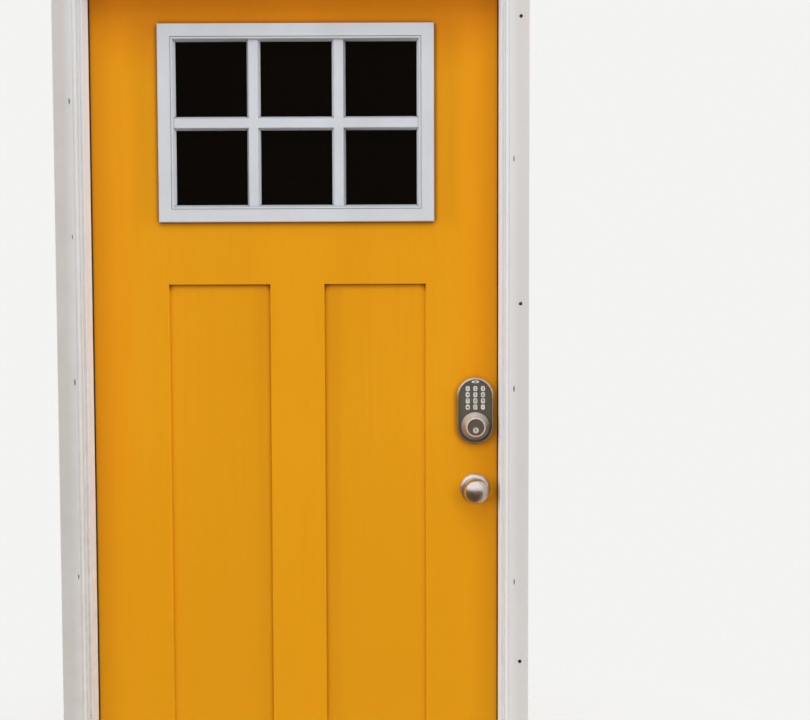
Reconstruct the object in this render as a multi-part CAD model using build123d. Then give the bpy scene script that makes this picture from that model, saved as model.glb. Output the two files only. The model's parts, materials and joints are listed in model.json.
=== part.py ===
from build123d import *
import math
import os

# Panelled entry door, hung in its frame: all sizes in millimetres.
# +X runs to the lock side, +Y into the house and +Z up. The origin is under the middle of the sill.

# Slab
slab_width = 908.0
slab_height = 2007.0
slab_thickness = 44.5
edge_gap = 3.2
skin_thickness = 1.6
hinge_stile_width = 35.0
lock_stile_width = 105.0
rail_height = 35.0

# Recessed panels. They and the window stand a little to the lock side of the slab's middle.
field_shift = 4.4
panel_width = 222.9
mullion_width = 118.4
panel_top_drop = 666.0
bottom_rail_face = 228.0
recess_depth = 8.0
recess_run = 1.6

# Frame
jamb_depth = 116.0
jamb_back = 19.0
stop_height = 12.7
stop_gap = 5.0
arris = 1.2
kerf_width = 3.2
kerf_depth = 10.5
strip_leg = 2.4
strip_proud = 2.5
soft_clearance = 0.3

# Brickmould
mould_width = 50.8
mould_thickness = 31.8
mould_reveal = 6.35
mould_flat = 42.0
mould_inner_height = 19.5
mould_arris = 1.5
nail_hole_radius = 1.8
relief_width = 8.0
relief_depth = 2.0
nail_inset = 18.3
strike_nail_shares = (0.972, 0.671, 0.2865)
hinge_nail_shares = (0.886, 0.585, 0.284)

# Sill
sill_depth = 146.0
nose_height = 14.5
deck_thickness = 2.2
deck_back_height = 28.5
cap_width = 32.0
cap_height = 16.0
cap_wall = 3.4
channel_floor = 20.0
channel_lip = 13.0
cap_clearance = 0.8
rib_count = 8
rib_height = 1.0
rib_width = 2.4
bottom_gap = 9.0
sweep_plate = 2.2
sweep_fin = 1.6
adjuster_radius = 3.0
adjuster_head_radius = 5.0
adjuster_head = 2.0
adjuster_span = 330.0

# Hinges
hinge_height = 101.6
hinge_leaf = 2.8
hinge_reach = 50.8
hinge_mortise = 38.1
leaf_corner = 15.9
knuckle_radius = 6.35
knuckle_count = 5
knuckle_gap = 0.2
pin_radius = 3.05
pin_clearance = 0.05
pin_head_radius = 5.0
pin_head = 3.0
hinge_top_drop = 229.0
hinge_bottom_rise = 279.0

# Screws
screw_head_radius = 4.8
screw_head = 2.6
screw_shank_radius = 2.2
jamb_screw_length = 17.0
stile_screw_length = 28.0
fit_clearance = 0.05

# Window in the door
lite_side_margin = 153.8
lite_height = 429.4
lite_top_drop = 100.5
lite_proud = 12.0
lite_wall = 2.5
lite_flat = 27.6
lite_section = 37.3
lite_leg = 13.0
glass_pane = 3.2
glass_unit = 19.1
glass_inset = 21.5
spacer_width = 8.0
bar_spacing_share = 0.309
bar_base = 30.0
bar_face = 20.0
bar_proud = 4.5
boss_radius = 3.6
boss_inset = 17.3
lite_screw_radius = 1.6
lite_screw_head = 3.4
lite_screw_reach = 10.0

# Lock bores
knob_drop = 1119.0
lock_pitch = 139.7
backset = 60.3
bore_radius = 27.0
edge_bore_radius = 12.7
faceplate_height = 57.2
faceplate_width = 25.4
faceplate_thickness = 2.6
faceplate_corner = 6.3
bolt_case_radius = 11.0
bolt_case_length = 70.0
bolt_clearance = 0.15
latch_width = 12.6
latch_height = 14.0
latch_throw = 11.5
latch_hold = 24.5
latch_bevel = 9.0
deadbolt_width = 12.0
deadbolt_height = 16.0
deadbolt_throw = 25.4
deadbolt_hold = 20.6
bolt_sink = 0.4
strike_thickness = 2.0
strike_height = 57.2
strike_width = 30.0
strike_screw_pitch = 41.3
pocket_clearance = 1.5
latch_pocket_room = 4.0

# Knob set
rose_radius = 32.5
rose_height = 9.5
rose_bore = 12.3
neck_clearance = 0.1
knob_radius = 27.5
knob_back = 1.0
knob_neck = 21.0
knob_waist = 43.0
knob_reach = 62.0
knob_flare = 0.9
knob_shoulder = 14.0
spindle_width = 7.6
spindle_socket = 14.0
socket_clearance = 0.05

# Keypad deadbolt, outside
housing_width = 79.5
housing_height = 146.5
housing_proud = 16.0
housing_round = 2.5
housing_rim = 4.0
face_recess = 3.0
face_thickness = 1.4
window_width = 17.5
window_height = 6.6
window_rise = 98.0
key_width = 8.8
key_height = 11.2
key_corner = 3.2
key_pitch_x = 16.7
key_pitch_z = 13.6
key_top_rise = 83.2
key_proud = 1.0
key_depth = 5.0
key_travel = 1.0
key_clearance = 0.2
collar_base_radius = 31.0
collar_front_radius = 20.8
collar_proud = 34.0
collar_lip = 2.6
plug_radius = 6.4
plug_drop = 6.5
plug_recess = 1.6
plug_length = 24.0
keyway_width = 1.8
keyway_height = 7.6
keyway_depth = 8.0

# Keypad deadbolt, inside
inner_width = 72.0
inner_height = 150.0
inner_proud = 26.0
inner_corner = 12.0
bay_width = 58.6
bay_height = 54.0
bay_depth = 19.0
bay_rise = 32.0
battery_radius = 7.1
battery_length = 50.5
battery_cap_radius = 2.6
battery_cap = 1.4
cover_width = 66.0
cover_lap = 5.0
cover_thickness = 2.4
cover_rail = 1.8
cover_hook = 0.9
rail_depth = 2.4
cover_clearance = 0.25
grip_rib = 0.7
turn_base_radius = 15.0
turn_base = 4.0
turn_length = 44.0
turn_width = 11.0
turn_proud = 20.0
turn_hub_radius = 8.0
blade_width = 7.0
blade_thickness = 3.0
through_bolt_radius = 2.4
through_bolt_head_radius = 4.4
through_bolt_head = 2.5
through_bolt_pitch = 40.0

# Places worked out from the sizes above
inner_y = sill_depth / 2
slab_outer_y = inner_y - slab_thickness
slab_mid_y = inner_y - slab_thickness / 2
stop_y = slab_outer_y - stop_gap
jamb_outer_y = inner_y - jamb_depth
slab_half = slab_width / 2
rabbet_half = slab_half + edge_gap
daylight_half = rabbet_half - stop_height
frame_half = rabbet_half + jamb_back
mould_inner_half = daylight_half + mould_reveal
mould_outer_half = mould_inner_half + mould_width

cap_top = channel_floor + cap_height
slab_bottom = cap_top + bottom_gap
slab_top = slab_bottom + slab_height
rabbet_top = slab_top + edge_gap
daylight_top = rabbet_top - stop_height
frame_top = rabbet_top + jamb_back
mould_inner_top = daylight_top + mould_reveal
mould_outer_top = mould_inner_top + mould_width

hinge_x = -(slab_half + edge_gap / 2)
hinge_y = inner_y + hinge_reach - hinge_mortise
hinge_centres = (
    slab_top - hinge_top_drop,
    (slab_top - hinge_top_drop + slab_bottom + hinge_bottom_rise) / 2,
    slab_bottom + hinge_bottom_rise,
)

panel_half_outer = mullion_width / 2 + panel_width
panel_top = slab_top - panel_top_drop
panel_bottom = slab_bottom + bottom_rail_face

lite_width = slab_width - 2 * lite_side_margin
bar_spacing = bar_spacing_share * lite_width
lite_top = slab_top - lite_top_drop
lite_centre = lite_top - lite_height / 2
glass_depth = (slab_thickness - glass_unit) / 2
cutout_inset = lite_leg - 0.4

latch_length = latch_throw + latch_hold
deadbolt_length = deadbolt_throw + deadbolt_hold
bolt_tip_x = slab_half - bolt_sink
lock_x = slab_half - backset
knob_z = slab_top - knob_drop
deadbolt_z = knob_z + lock_pitch


def block(x0, x1, y0, y1, z0, z1):
    """A box between two corners."""
    centre = Pos((x0 + x1) / 2, (y0 + y1) / 2, (z0 + z1) / 2)
    return centre * Box(abs(x1 - x0), abs(y1 - y0), abs(z1 - z0))


def prism_x(face, x0, x1):
    """A face drawn in (Y, Z) and drawn out along X."""
    plane = Plane(origin=(x0, 0, 0), x_dir=(0, 1, 0), z_dir=(1, 0, 0))
    return extrude(plane * face, x1 - x0, dir=(1, 0, 0))


def prism_y(face, y0, y1):
    """A face drawn in (X, Z) and drawn out along Y."""
    plane = Plane(origin=(0, y0, 0), x_dir=(1, 0, 0), z_dir=(0, -1, 0))
    return extrude(plane * face, y1 - y0, dir=(0, 1, 0))


def prism_z(face, z0, z1):
    """A face drawn in (X, Y) and drawn out along Z."""
    return extrude(Plane(origin=(0, 0, z0)) * face, z1 - z0, dir=(0, 0, 1))


def polygon(points):
    return Polygon(*points, align=None)


def rod_y(x, z, y0, y1, radius):
    """A round bar along Y."""
    plane = Plane(origin=(x, y0, z), x_dir=(1, 0, 0), z_dir=(0, -1, 0))
    return extrude(plane * Circle(radius), y1 - y0, dir=(0, 1, 0))


def rod_x(y, z, x0, x1, radius):
    """A round bar along X."""
    plane = Plane(origin=(x0, y, z), x_dir=(0, 1, 0), z_dir=(1, 0, 0))
    return extrude(plane * Circle(radius), x1 - x0, dir=(1, 0, 0))


def wall_plane(side, x, z, proud=0.0):
    """A plane on one face of the slab, looking away from it. Local Y is up."""
    if side == "outside":
        return Plane(origin=(x, slab_outer_y - proud, z), x_dir=(1, 0, 0), z_dir=(0, -1, 0))
    return Plane(origin=(x, inner_y + proud, z), x_dir=(-1, 0, 0), z_dir=(0, 1, 0))


def turned(side, x, z, face):
    """A profile drawn as (radius, distance from the slab's face), turned about the Y axis at x, z."""
    if side == "outside":
        plane = Plane(origin=(x, slab_outer_y, z), x_dir=(1, 0, 0), z_dir=(0, 0, -1))
    else:
        plane = Plane(origin=(x, inner_y, z), x_dir=(1, 0, 0), z_dir=(0, 0, 1))
    return revolve(plane * face, Axis((x, 0, z), (0, 1, 0)))


def flat_screw(plane, length, grow=0.0):
    """A countersunk screw. The plane lies on its head and looks away from it."""
    profile = polygon([
        (0, 0),
        (screw_head_radius + grow, 0),
        (screw_shank_radius + grow, -screw_head),
        (screw_shank_radius + grow, -length - grow),
        (0, -length - grow),
    ])
    return plane.location * revolve(Plane.XZ * profile, Axis.Z)


def joined(solids):
    """Several solids as one, or as one group of separate ones."""
    result = solids[0]
    for solid in solids[1:]:
        result += solid
    return result


def less(solid, cutters):
    for cutter in cutters:
        solid -= cutter
    return solid


def group(solids):
    """Separate solids in one node."""
    return Compound(children=[s for part in solids for s in part.solids()])


# Frame

def leg_prism(side, kerf):
    """One jamb leg's outline, drawn up: stop, rabbet and a kerf of the depth given."""
    points = [
        (daylight_half + arris, jamb_outer_y),
        (frame_half, jamb_outer_y),
        (frame_half, inner_y),
        (rabbet_half, inner_y),
        (rabbet_half, stop_y - kerf),
        (rabbet_half - kerf_width, stop_y - kerf),
        (rabbet_half - kerf_width, stop_y),
        (daylight_half + arris, stop_y),
        (daylight_half, stop_y - arris),
        (daylight_half, jamb_outer_y + arris),
    ]
    if not kerf:
        points = points[:4] + [(rabbet_half, stop_y)] + points[7:]
    return prism_z(polygon([(side * x, y) for x, y in points]), 0, frame_top)


def jamb_leg(side):
    return leg_prism(side, kerf_depth)


def jamb_head():
    """The head jamb, coped between the legs."""
    face = polygon([
        (jamb_outer_y, daylight_top + arris),
        (jamb_outer_y + arris, daylight_top),
        (stop_y - arris, daylight_top),
        (stop_y, daylight_top + arris),
        (stop_y, rabbet_top - kerf_width),
        (stop_y - kerf_depth, rabbet_top - kerf_width),
        (stop_y - kerf_depth, rabbet_top),
        (inner_y, rabbet_top),
        (inner_y, frame_top),
        (jamb_outer_y, frame_top),
    ])
    head = prism_x(face, -rabbet_half, rabbet_half)
    return less(head, [leg_prism(1, 0), leg_prism(-1, 0)])


def mould_face():
    """The brickmould's section: across from its inner edge, then out from its back."""
    quirk = mould_width - mould_flat
    step = mould_thickness - 2.2
    bead_low = mould_inner_height + 3.0
    line = Polyline(
        (quirk - 1.2, step), (quirk, step), (quirk, mould_thickness),
        (mould_width - mould_arris, mould_thickness),
    )
    corner = ThreePointArc(
        (mould_width - mould_arris, mould_thickness),
        (mould_width - 0.3 * mould_arris, mould_thickness - 0.3 * mould_arris),
        (mould_width, mould_thickness - mould_arris),
    )
    jamb_corner = frame_half - mould_inner_half
    relief_from = jamb_corner - relief_width / 2
    relief_to = jamb_corner + relief_width / 2
    back = Polyline(
        (mould_width, mould_thickness - mould_arris), (mould_width, 0), (relief_to, 0),
        (relief_to, relief_depth), (relief_from, relief_depth), (relief_from, 0), (0, 0),
        (0, mould_inner_height), (1.8, mould_inner_height), (1.8, bead_low),
    )
    bead = ThreePointArc((1.8, bead_low), (3.6, step - 1.9), (quirk - 1.2, step))
    return make_face(line + corner + back + bead)


def deck_height(y):
    """The height of the sill deck's sloped top at y."""
    nose_y = -sill_depth / 2 + deck_thickness
    slope = (deck_back_height - nose_height) / (channel_y - nose_y)
    return nose_height + slope * (y - nose_y)


def mitre_cut(side):
    """What the mitre takes off the top of a brickmould leg."""
    reach = 40.0
    points = [
        (mould_inner_half - reach, mould_inner_top - reach),
        (mould_outer_half + reach, mould_outer_top + reach),
        (mould_inner_half - reach, mould_outer_top + reach),
    ]
    face = polygon([(side * x, z) for x, z in points])
    return prism_y(face, jamb_outer_y - mould_thickness - 1, jamb_outer_y + 1)


def mould_leg(side, nail_shares):
    plane = Plane(
        origin=(side * mould_inner_half, jamb_outer_y, 0),
        x_dir=(side, 0, 0), z_dir=(0, 0, -side),
    )
    leg = extrude(plane * mould_face(), mould_outer_top, dir=(0, 0, 1))
    under = prism_x(
        polygon([
            (-sill_depth, deck_height(-sill_depth)),
            (jamb_outer_y + 1, deck_height(jamb_outer_y + 1)),
            (jamb_outer_y + 1, -1),
            (-sill_depth, -1),
        ]),
        -mould_outer_half - 1, mould_outer_half + 1,
    )
    nail_x = side * (mould_outer_half - nail_inset)
    holes = [
        rod_y(nail_x, z, jamb_outer_y - mould_thickness - 1, jamb_outer_y + 1, nail_hole_radius)
        for z in (share * slab_height for share in nail_shares)
    ]
    return less(leg, [mitre_cut(side), under] + holes)


def mould_head():
    plane = Plane(
        origin=(-mould_outer_half, jamb_outer_y, mould_inner_top),
        x_dir=(0, 0, 1), z_dir=(1, 0, 0),
    )
    head = extrude(plane * mould_face(), 2 * mould_outer_half, dir=(1, 0, 0))
    keep = prism_y(
        polygon([
            (-mould_inner_half, mould_inner_top),
            (mould_inner_half, mould_inner_top),
            (mould_outer_half, mould_outer_top),
            (-mould_outer_half, mould_outer_top),
        ]),
        jamb_outer_y - mould_thickness - 1, jamb_outer_y + 1,
    )
    return head & keep


# Sill

channel_y = inner_y - 2 * deck_thickness - cap_width - 2 * cap_clearance - 1.0
cap_y = channel_y + deck_thickness + cap_clearance


def jamb_notches():
    """What the sill loses at its ends, so that it fits between the jambs."""
    top = 60.0
    notches = []
    for side in (1, -1):
        far = side * (mould_outer_half + 1)
        notches.append(block(side * daylight_half, far, jamb_outer_y, stop_y, -1, top))
        notches.append(block(side * rabbet_half, far, stop_y - 1, inner_y + 1, -1, top))
    return notches


def sill_deck():
    """One extruded sheet: nose, sloped deck with ribs, and the channel that holds the cap."""
    t = deck_thickness
    front = -sill_depth / 2
    far = channel_y + t + cap_width + 2 * cap_clearance
    points = [
        (front, 0),
        (front, nose_height - t),
        (front + t, nose_height),
        (channel_y, deck_height(channel_y)),
        (channel_y, channel_floor + channel_lip),
        (channel_y + t, channel_floor + channel_lip),
        (channel_y + t, channel_floor),
        (far, channel_floor),
        (far, channel_floor + channel_lip),
        (far + t, channel_floor + channel_lip),
        (far + t, channel_floor - t),
        (channel_y, channel_floor - t),
        (channel_y, deck_height(channel_y) - t),
        (front + t, nose_height - t),
        (front + t, 0),
    ]
    deck = prism_x(polygon(points), -mould_outer_half, mould_outer_half)
    first = jamb_outer_y + 8
    pitch = (channel_y - 8 - first) / (rib_count - 1)
    for i in range(rib_count):
        y = first + i * pitch
        rib = polygon([
            (y - rib_width / 2, deck_height(y - rib_width / 2) - 0.5),
            (y - rib_width / 4, deck_height(y) + rib_height),
            (y + rib_width / 4, deck_height(y) + rib_height),
            (y + rib_width / 2, deck_height(y + rib_width / 2) - 0.5),
        ])
        deck += prism_x(rib, -daylight_half + 1, daylight_half - 1)
    return less(deck, jamb_notches())


def sill_substrate():
    t = deck_thickness
    front = -sill_depth / 2 + t
    points = [
        (front, 0),
        (inner_y, 0),
        (inner_y, channel_floor - t),
        (channel_y, channel_floor - t),
        (channel_y, deck_height(channel_y) - t),
        (front, nose_height - t),
    ]
    base = prism_x(polygon(points), -mould_outer_half, mould_outer_half)
    return less(base, jamb_notches())


def adjuster(x, grow=0.0):
    """A sill cap screw: its head is flush with the cap and its foot stands on the channel."""
    y = cap_y + cap_width / 2
    head = Pos(x, y, cap_top - adjuster_head) * Cylinder(
        adjuster_head_radius + grow, adjuster_head,
        align=(Align.CENTER, Align.CENTER, Align.MIN))
    shank = Pos(x, y, channel_floor) * Cylinder(
        adjuster_radius + grow, cap_height - adjuster_head,
        align=(Align.CENTER, Align.CENTER, Align.MIN))
    return head + shank


adjuster_places = (-adjuster_span, 0.0, adjuster_span)


def sill_cap():
    """An upside-down channel that the sweep closes on."""
    near = cap_y
    far = cap_y + cap_width
    ease = 1.5
    points = [
        (near, channel_floor), (near, cap_top - ease), (near + ease, cap_top),
        (far - ease, cap_top), (far, cap_top - ease), (far, channel_floor),
        (far - cap_wall, channel_floor), (far - cap_wall, cap_top - cap_wall),
        (near + cap_wall, cap_top - cap_wall), (near + cap_wall, channel_floor),
    ]
    reach = rabbet_half - 0.5
    cap = prism_x(polygon(points), -reach, reach)
    return less(cap, [adjuster(x, fit_clearance) for x in adjuster_places])


# Weatherstrip

def strip_outline(near, far):
    """Bulb and leg across the stop: 'near' is its edge in the doorway, 'far' the kerf's side."""
    bulb_face = slab_outer_y - soft_clearance
    bulb = bulb_face - stop_y
    leg_far = far - (kerf_width - strip_leg) / 2
    leg_near = leg_far - strip_leg
    top = Polyline(
        (near + bulb / 2, stop_y), (leg_near, stop_y), (leg_near, stop_y - kerf_depth + 1),
        (leg_far, stop_y - kerf_depth + 1), (leg_far, bulb_face), (near + bulb / 2, bulb_face),
    )
    nose = ThreePointArc(
        (near + bulb / 2, bulb_face), (near, stop_y + bulb / 2), (near + bulb / 2, stop_y))
    return make_face(top + nose)


def weatherstrips():
    """Two legs and a head, cut square where they meet."""
    near = daylight_half - strip_proud
    face = strip_outline(near, rabbet_half)
    foot = deck_height(stop_y) + 6
    top = rabbet_top - (kerf_width - strip_leg) / 2
    strips = []
    for side in (1, -1):
        leg = extrude(Plane(origin=(0, 0, foot)) * face, top - foot, dir=(0, 0, 1))
        strips.append(leg if side == 1 else mirror(leg, Plane.YZ))
    head_face = strip_outline(daylight_top - strip_proud, rabbet_top)
    plane = Plane(origin=(-near, 0, 0), x_dir=(0, 0, 1), z_dir=(-1, 0, 0))
    strips.append(extrude(plane * head_face, 2 * near, dir=(1, 0, 0)))
    return group(strips)


# Hinges

def leaf_plate(x0, z_centre):
    """A flat leaf with two round corners, from the middle of the pin to its free end."""
    free = hinge_y - hinge_reach
    plate = block(x0, x0 + hinge_leaf, free, hinge_y,
                  z_centre - hinge_height / 2, z_centre + hinge_height / 2)
    corners = plate.edges().filter_by(Axis.X).group_by(Axis.Y)[0]
    return fillet(corners, leaf_corner)


def knuckle_span(index, z_centre):
    pitch = hinge_height / knuckle_count
    low = z_centre - hinge_height / 2 + index * pitch
    return low, low + pitch


def upright(radius, z0, z1):
    """A round bar on the hinge's axis."""
    return Pos(hinge_x, hinge_y, z0) * Cylinder(
        radius, z1 - z0, align=(Align.CENTER, Align.CENTER, Align.MIN))


leaf_screw_places = ((38.0, 11.0), (13.0, 24.0), (-13.0, 24.0), (-38.0, 11.0))


def leaf_screw_planes(face_x, looks, z_centre):
    free = hinge_y - hinge_reach
    return [
        Plane(origin=(face_x, free + inset, z_centre + dz), x_dir=(0, 1, 0), z_dir=(looks, 0, 0))
        for dz, inset in leaf_screw_places
    ]


def hinge_leaf_solid(x0, face_x, looks, own, z_centre):
    """A leaf with its knuckles rolled round the pin: 'own' names the knuckles it has."""
    leaf = leaf_plate(x0, z_centre)
    for index in range(knuckle_count):
        low, high = knuckle_span(index, z_centre)
        if index in own:
            leaf += upright(knuckle_radius, low + knuckle_gap / 2, high - knuckle_gap / 2)
    for index in range(knuckle_count):
        low, high = knuckle_span(index, z_centre)
        if index not in own:
            room = knuckle_gap / 2
            leaf -= upright(knuckle_radius + 0.4, low - room, high + room)
    half = hinge_height / 2
    leaf -= upright(pin_radius + pin_clearance, z_centre - half - 1, z_centre + half + 1)
    planes = leaf_screw_planes(face_x, looks, z_centre)
    return less(leaf, [flat_screw(p, stile_screw_length, fit_clearance) for p in planes])


frame_leaf_x = -rabbet_half - hinge_leaf
door_leaf_x = -slab_half


def frame_leaf(z_centre):
    return hinge_leaf_solid(frame_leaf_x, -rabbet_half, 1, (0, 2, 4), z_centre)


def door_leaf(z_centre):
    return hinge_leaf_solid(door_leaf_x, -slab_half, -1, (1, 3), z_centre)


def hinge_pin(z_centre):
    half = hinge_height / 2
    pin = upright(pin_radius, z_centre - half - 2, z_centre + half)
    head = upright(pin_head_radius, z_centre + half, z_centre + half + pin_head)
    head = fillet(head.edges().group_by(Axis.Z)[-1], 1.4)
    return pin + head


# Slab

def frustum(x0, x1, z0, z1, face_y, depth, run):
    """A shallow tray shape that narrows by 'run' a side over its depth."""
    plane = Plane(origin=((x0 + x1) / 2, face_y, (z0 + z1) / 2), x_dir=(1, 0, 0), z_dir=(0, -1, 0))
    floor = Plane(origin=((x0 + x1) / 2, face_y + depth, (z0 + z1) / 2),
                  x_dir=(1, 0, 0), z_dir=(0, -1, 0))
    mouth = plane * Rectangle(x1 - x0, z1 - z0)
    base = floor * Rectangle(x1 - x0 - 2 * run, z1 - z0 - 2 * run)
    return loft([mouth.face(), base.face()], ruled=True)


def panel_spans():
    inner = mullion_width / 2
    return (
        (field_shift - panel_half_outer, field_shift - inner),
        (field_shift + inner, field_shift + panel_half_outer),
    )


def panel_trays(side, wall):
    """The recessed panels' trays, grown by a wall all round."""
    sign = 1 if side == "outside" else -1
    face_y = slab_outer_y if side == "outside" else inner_y
    trays = []
    for x0, x1 in panel_spans():
        trays.append(frustum(
            x0 - wall, x1 + wall, panel_bottom - wall, panel_top + wall,
            face_y, sign * (recess_depth + wall), recess_run))
    return trays


def lite_cutout():
    half_w = lite_width / 2 - cutout_inset
    half_h = lite_height / 2 - cutout_inset
    return block(field_shift - half_w, field_shift + half_w, slab_outer_y - 1, inner_y + 1,
                 lite_centre - half_h, lite_centre + half_h)


def lock_bores():
    return [
        rod_y(lock_x, z, slab_outer_y - 1, inner_y + 1, bore_radius)
        for z in (knob_z, deadbolt_z)
    ]


def skin(side):
    """A formed face sheet with its recessed panels."""
    sign = 1 if side == "outside" else -1
    face_y = slab_outer_y if side == "outside" else inner_y
    sheet = block(-slab_half, slab_half, face_y, face_y + sign * skin_thickness,
                  slab_bottom, slab_top)
    for tray in panel_trays(side, skin_thickness):
        sheet += tray
    mortises = [leaf_plate(door_leaf_x, z) for z in hinge_centres] if side == "inside" else []
    return less(sheet, panel_trays(side, 0.0) + [lite_cutout()] + lock_bores() + mortises)


core_y0 = slab_outer_y + skin_thickness
core_y1 = inner_y - skin_thickness


def hinge_stile():
    stile = block(-slab_half, -slab_half + hinge_stile_width, core_y0, core_y1,
                  slab_bottom, slab_top)
    cutters = []
    for z in hinge_centres:
        cutters.append(leaf_plate(door_leaf_x, z))
        planes = leaf_screw_planes(door_leaf_x, -1, z)
        cutters += [flat_screw(p, stile_screw_length, fit_clearance) for p in planes]
    return less(stile, cutters)


def faceplate(z_centre, x_face, thickness):
    """A bolt's plate in the lock edge, with round corners."""
    plane = Plane(origin=(x_face, slab_mid_y, z_centre), x_dir=(0, 1, 0), z_dir=(1, 0, 0))
    shape = plane * RectangleRounded(faceplate_width, faceplate_height, faceplate_corner)
    return extrude(shape, thickness, dir=(-1, 0, 0))


faceplate_screw_pitch = 41.3


def faceplate_screw_planes(z_centre):
    return [
        Plane(origin=(slab_half, slab_mid_y, z_centre + dz), x_dir=(0, 1, 0), z_dir=(1, 0, 0))
        for dz in (-faceplate_screw_pitch / 2, faceplate_screw_pitch / 2)
    ]


def lock_stile():
    stile = block(slab_half - lock_stile_width, slab_half, core_y0, core_y1,
                  slab_bottom, slab_top)
    cutters = lock_bores()
    for z in (knob_z, deadbolt_z):
        cutters.append(rod_x(slab_mid_y, z, lock_x, slab_half + 1, edge_bore_radius))
        cutters.append(faceplate(z, slab_half, faceplate_thickness))
        planes = faceplate_screw_planes(z)
        cutters += [flat_screw(p, stile_screw_length, fit_clearance) for p in planes]
    return less(stile, cutters)


def rail(z0, z1):
    return block(-slab_half + hinge_stile_width, slab_half - lock_stile_width,
                 core_y0, core_y1, z0, z1)


def foam_core():
    core = rail(slab_bottom + rail_height, slab_top - rail_height)
    trays = panel_trays("outside", skin_thickness) + panel_trays("inside", skin_thickness)
    return less(core, trays + [lite_cutout()])


def door_sweep():
    """A plate under the slab with three fins that close on the sill cap."""
    plate_low = slab_bottom - sweep_plate
    reach = slab_half - 2
    sweep = block(-reach, reach, cap_y, inner_y - 1, plate_low, slab_bottom)
    for share in (0.15, 0.5, 0.85):
        y = cap_y + share * cap_width
        sweep += block(-reach, reach, y - sweep_fin / 2, y + sweep_fin / 2,
                       cap_top + soft_clearance, plate_low)
    return sweep


# Window in the door

def lite_face():
    """The window frame's section: across from its outer edge, then out from the skin."""
    wall = lite_wall
    front = lite_proud
    ease = 2.5
    lip = -glass_depth
    head = Polyline(
        (ease, front), (lite_flat, front), (lite_flat + 0.9, front - 2.2),
        (lite_flat + 1.8, front - 1.0), (lite_flat + 5.0, front - 1.0),
        (lite_flat + 5.8, front - 6.5), (lite_section, lip), (lite_section - 3.4, lip),
        (lite_flat + 2.7, front - wall - 2.0), (lite_leg + wall, front - wall - 2.0),
        (lite_leg + wall, lip + wall), (lite_leg, lip + wall), (lite_leg, front - wall),
        (wall, front - wall), (wall, 0), (0, 0), (0, front - ease),
    )
    corner = ThreePointArc(
        (0, front - ease), (0.3 * ease, front - 0.3 * ease), (ease, front))
    return make_face(head + corner)


def out_axis(side):
    """Which way is out from the slab on this side, along Y."""
    return -1 if side == "outside" else 1


def face_y_of(side):
    return slab_outer_y if side == "outside" else inner_y


def ring_side(side, across, along):
    """One straight side of the window frame, mitred. 'across' points in from its outer edge."""
    half_w = lite_width / 2
    half_h = lite_height / 2
    out = out_axis(side)
    run = half_w if along == "x" else half_h
    far = half_h if along == "x" else half_w
    cut = 60.0
    if along == "x":
        origin = (field_shift - run, face_y_of(side), lite_centre - across * far)
        x_dir = (0, 0, across)
        direction = (1, 0, 0)
        trapezoid = [(-run, -far), (run, -far), (run - cut, -far + cut), (-run + cut, -far + cut)]
        shape = [(field_shift + u, lite_centre + across * v) for u, v in trapezoid]
    else:
        origin = (field_shift - across * far, face_y_of(side), lite_centre - run)
        x_dir = (across, 0, 0)
        direction = (0, 0, 1)
        trapezoid = [(-far, -run), (-far, run), (-far + cut, run - cut), (-far + cut, -run + cut)]
        shape = [(field_shift + across * u, lite_centre + v) for u, v in trapezoid]
    normal = Vector(*x_dir).cross(Vector(0, out, 0))
    plane = Plane(origin=origin, x_dir=x_dir, z_dir=normal)
    bar = extrude(plane * lite_face(), 2 * run, dir=direction)
    keep = prism_y(polygon(shape), slab_outer_y - 40, inner_y + 40)
    return bar & keep


def lite_boss_places():
    """Where the screws of the window frame run, as x and z."""
    side_x = lite_width / 2 - boss_inset
    side_z = lite_height / 2 - boss_inset
    places = []
    for sx in (-1, 1):
        for sz in (-1, 1):
            places.append((field_shift + sx * side_x, lite_centre + sz * 0.27 * lite_height))
            places.append((field_shift + sx * 0.33 * lite_width, lite_centre + sz * side_z))
    return places


def y_at(side, distance):
    """The Y of a point at a distance out from one face of the slab."""
    return face_y_of(side) + out_axis(side) * distance


def lite_ring(side):
    sides = [
        ring_side(side, 1, "x"), ring_side(side, -1, "x"),
        ring_side(side, 1, "z"), ring_side(side, -1, "z"),
    ]
    return joined(sides)


def bar_solids(side):
    """Two upright bars and one level bar, bevelled, seated on the glass."""
    glass = y_at(side, -glass_depth)
    top = y_at(side, bar_proud)
    base = bar_base / 2
    crown = bar_face / 2
    reach_x = lite_width / 2 - lite_section + 4.0
    reach_z = lite_height / 2 - lite_section + 4.0
    solids = []
    for x in (field_shift - bar_spacing / 2, field_shift + bar_spacing / 2):
        face = polygon([(x - base, glass), (x - crown, top), (x + crown, top), (x + base, glass)])
        solids.append(prism_z(face, lite_centre - reach_z, lite_centre + reach_z))
    z = lite_centre
    face = polygon([(glass, z - base), (top, z - crown), (top, z + crown), (glass, z + base)])
    solids.append(prism_x(face, field_shift - reach_x, field_shift + reach_x))
    return solids


boss_root = lite_proud - lite_wall - 1.5
outer_boss_depth = 16.0
inner_boss_depth = slab_thickness - outer_boss_depth - 0.5
lite_screw_tip = lite_screw_reach - outer_boss_depth
lite_head_seat = lite_proud - 2.0
lite_head_top = lite_proud - 0.4


def lite_bosses(side, radius, depth, start=boss_root):
    y0 = y_at(side, start)
    y1 = y_at(side, -depth)
    return [rod_y(x, z, min(y0, y1), max(y0, y1), radius) for x, z in lite_boss_places()]


def outer_lite_frame():
    frame = joined([lite_ring("outside")] + bar_solids("outside"))
    for boss in lite_bosses("outside", boss_radius, outer_boss_depth):
        frame += boss
    holes = lite_bosses("outside", lite_screw_radius + fit_clearance, outer_boss_depth + 1,
                        lite_screw_tip + fit_clearance)
    return less(frame, holes)


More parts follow.
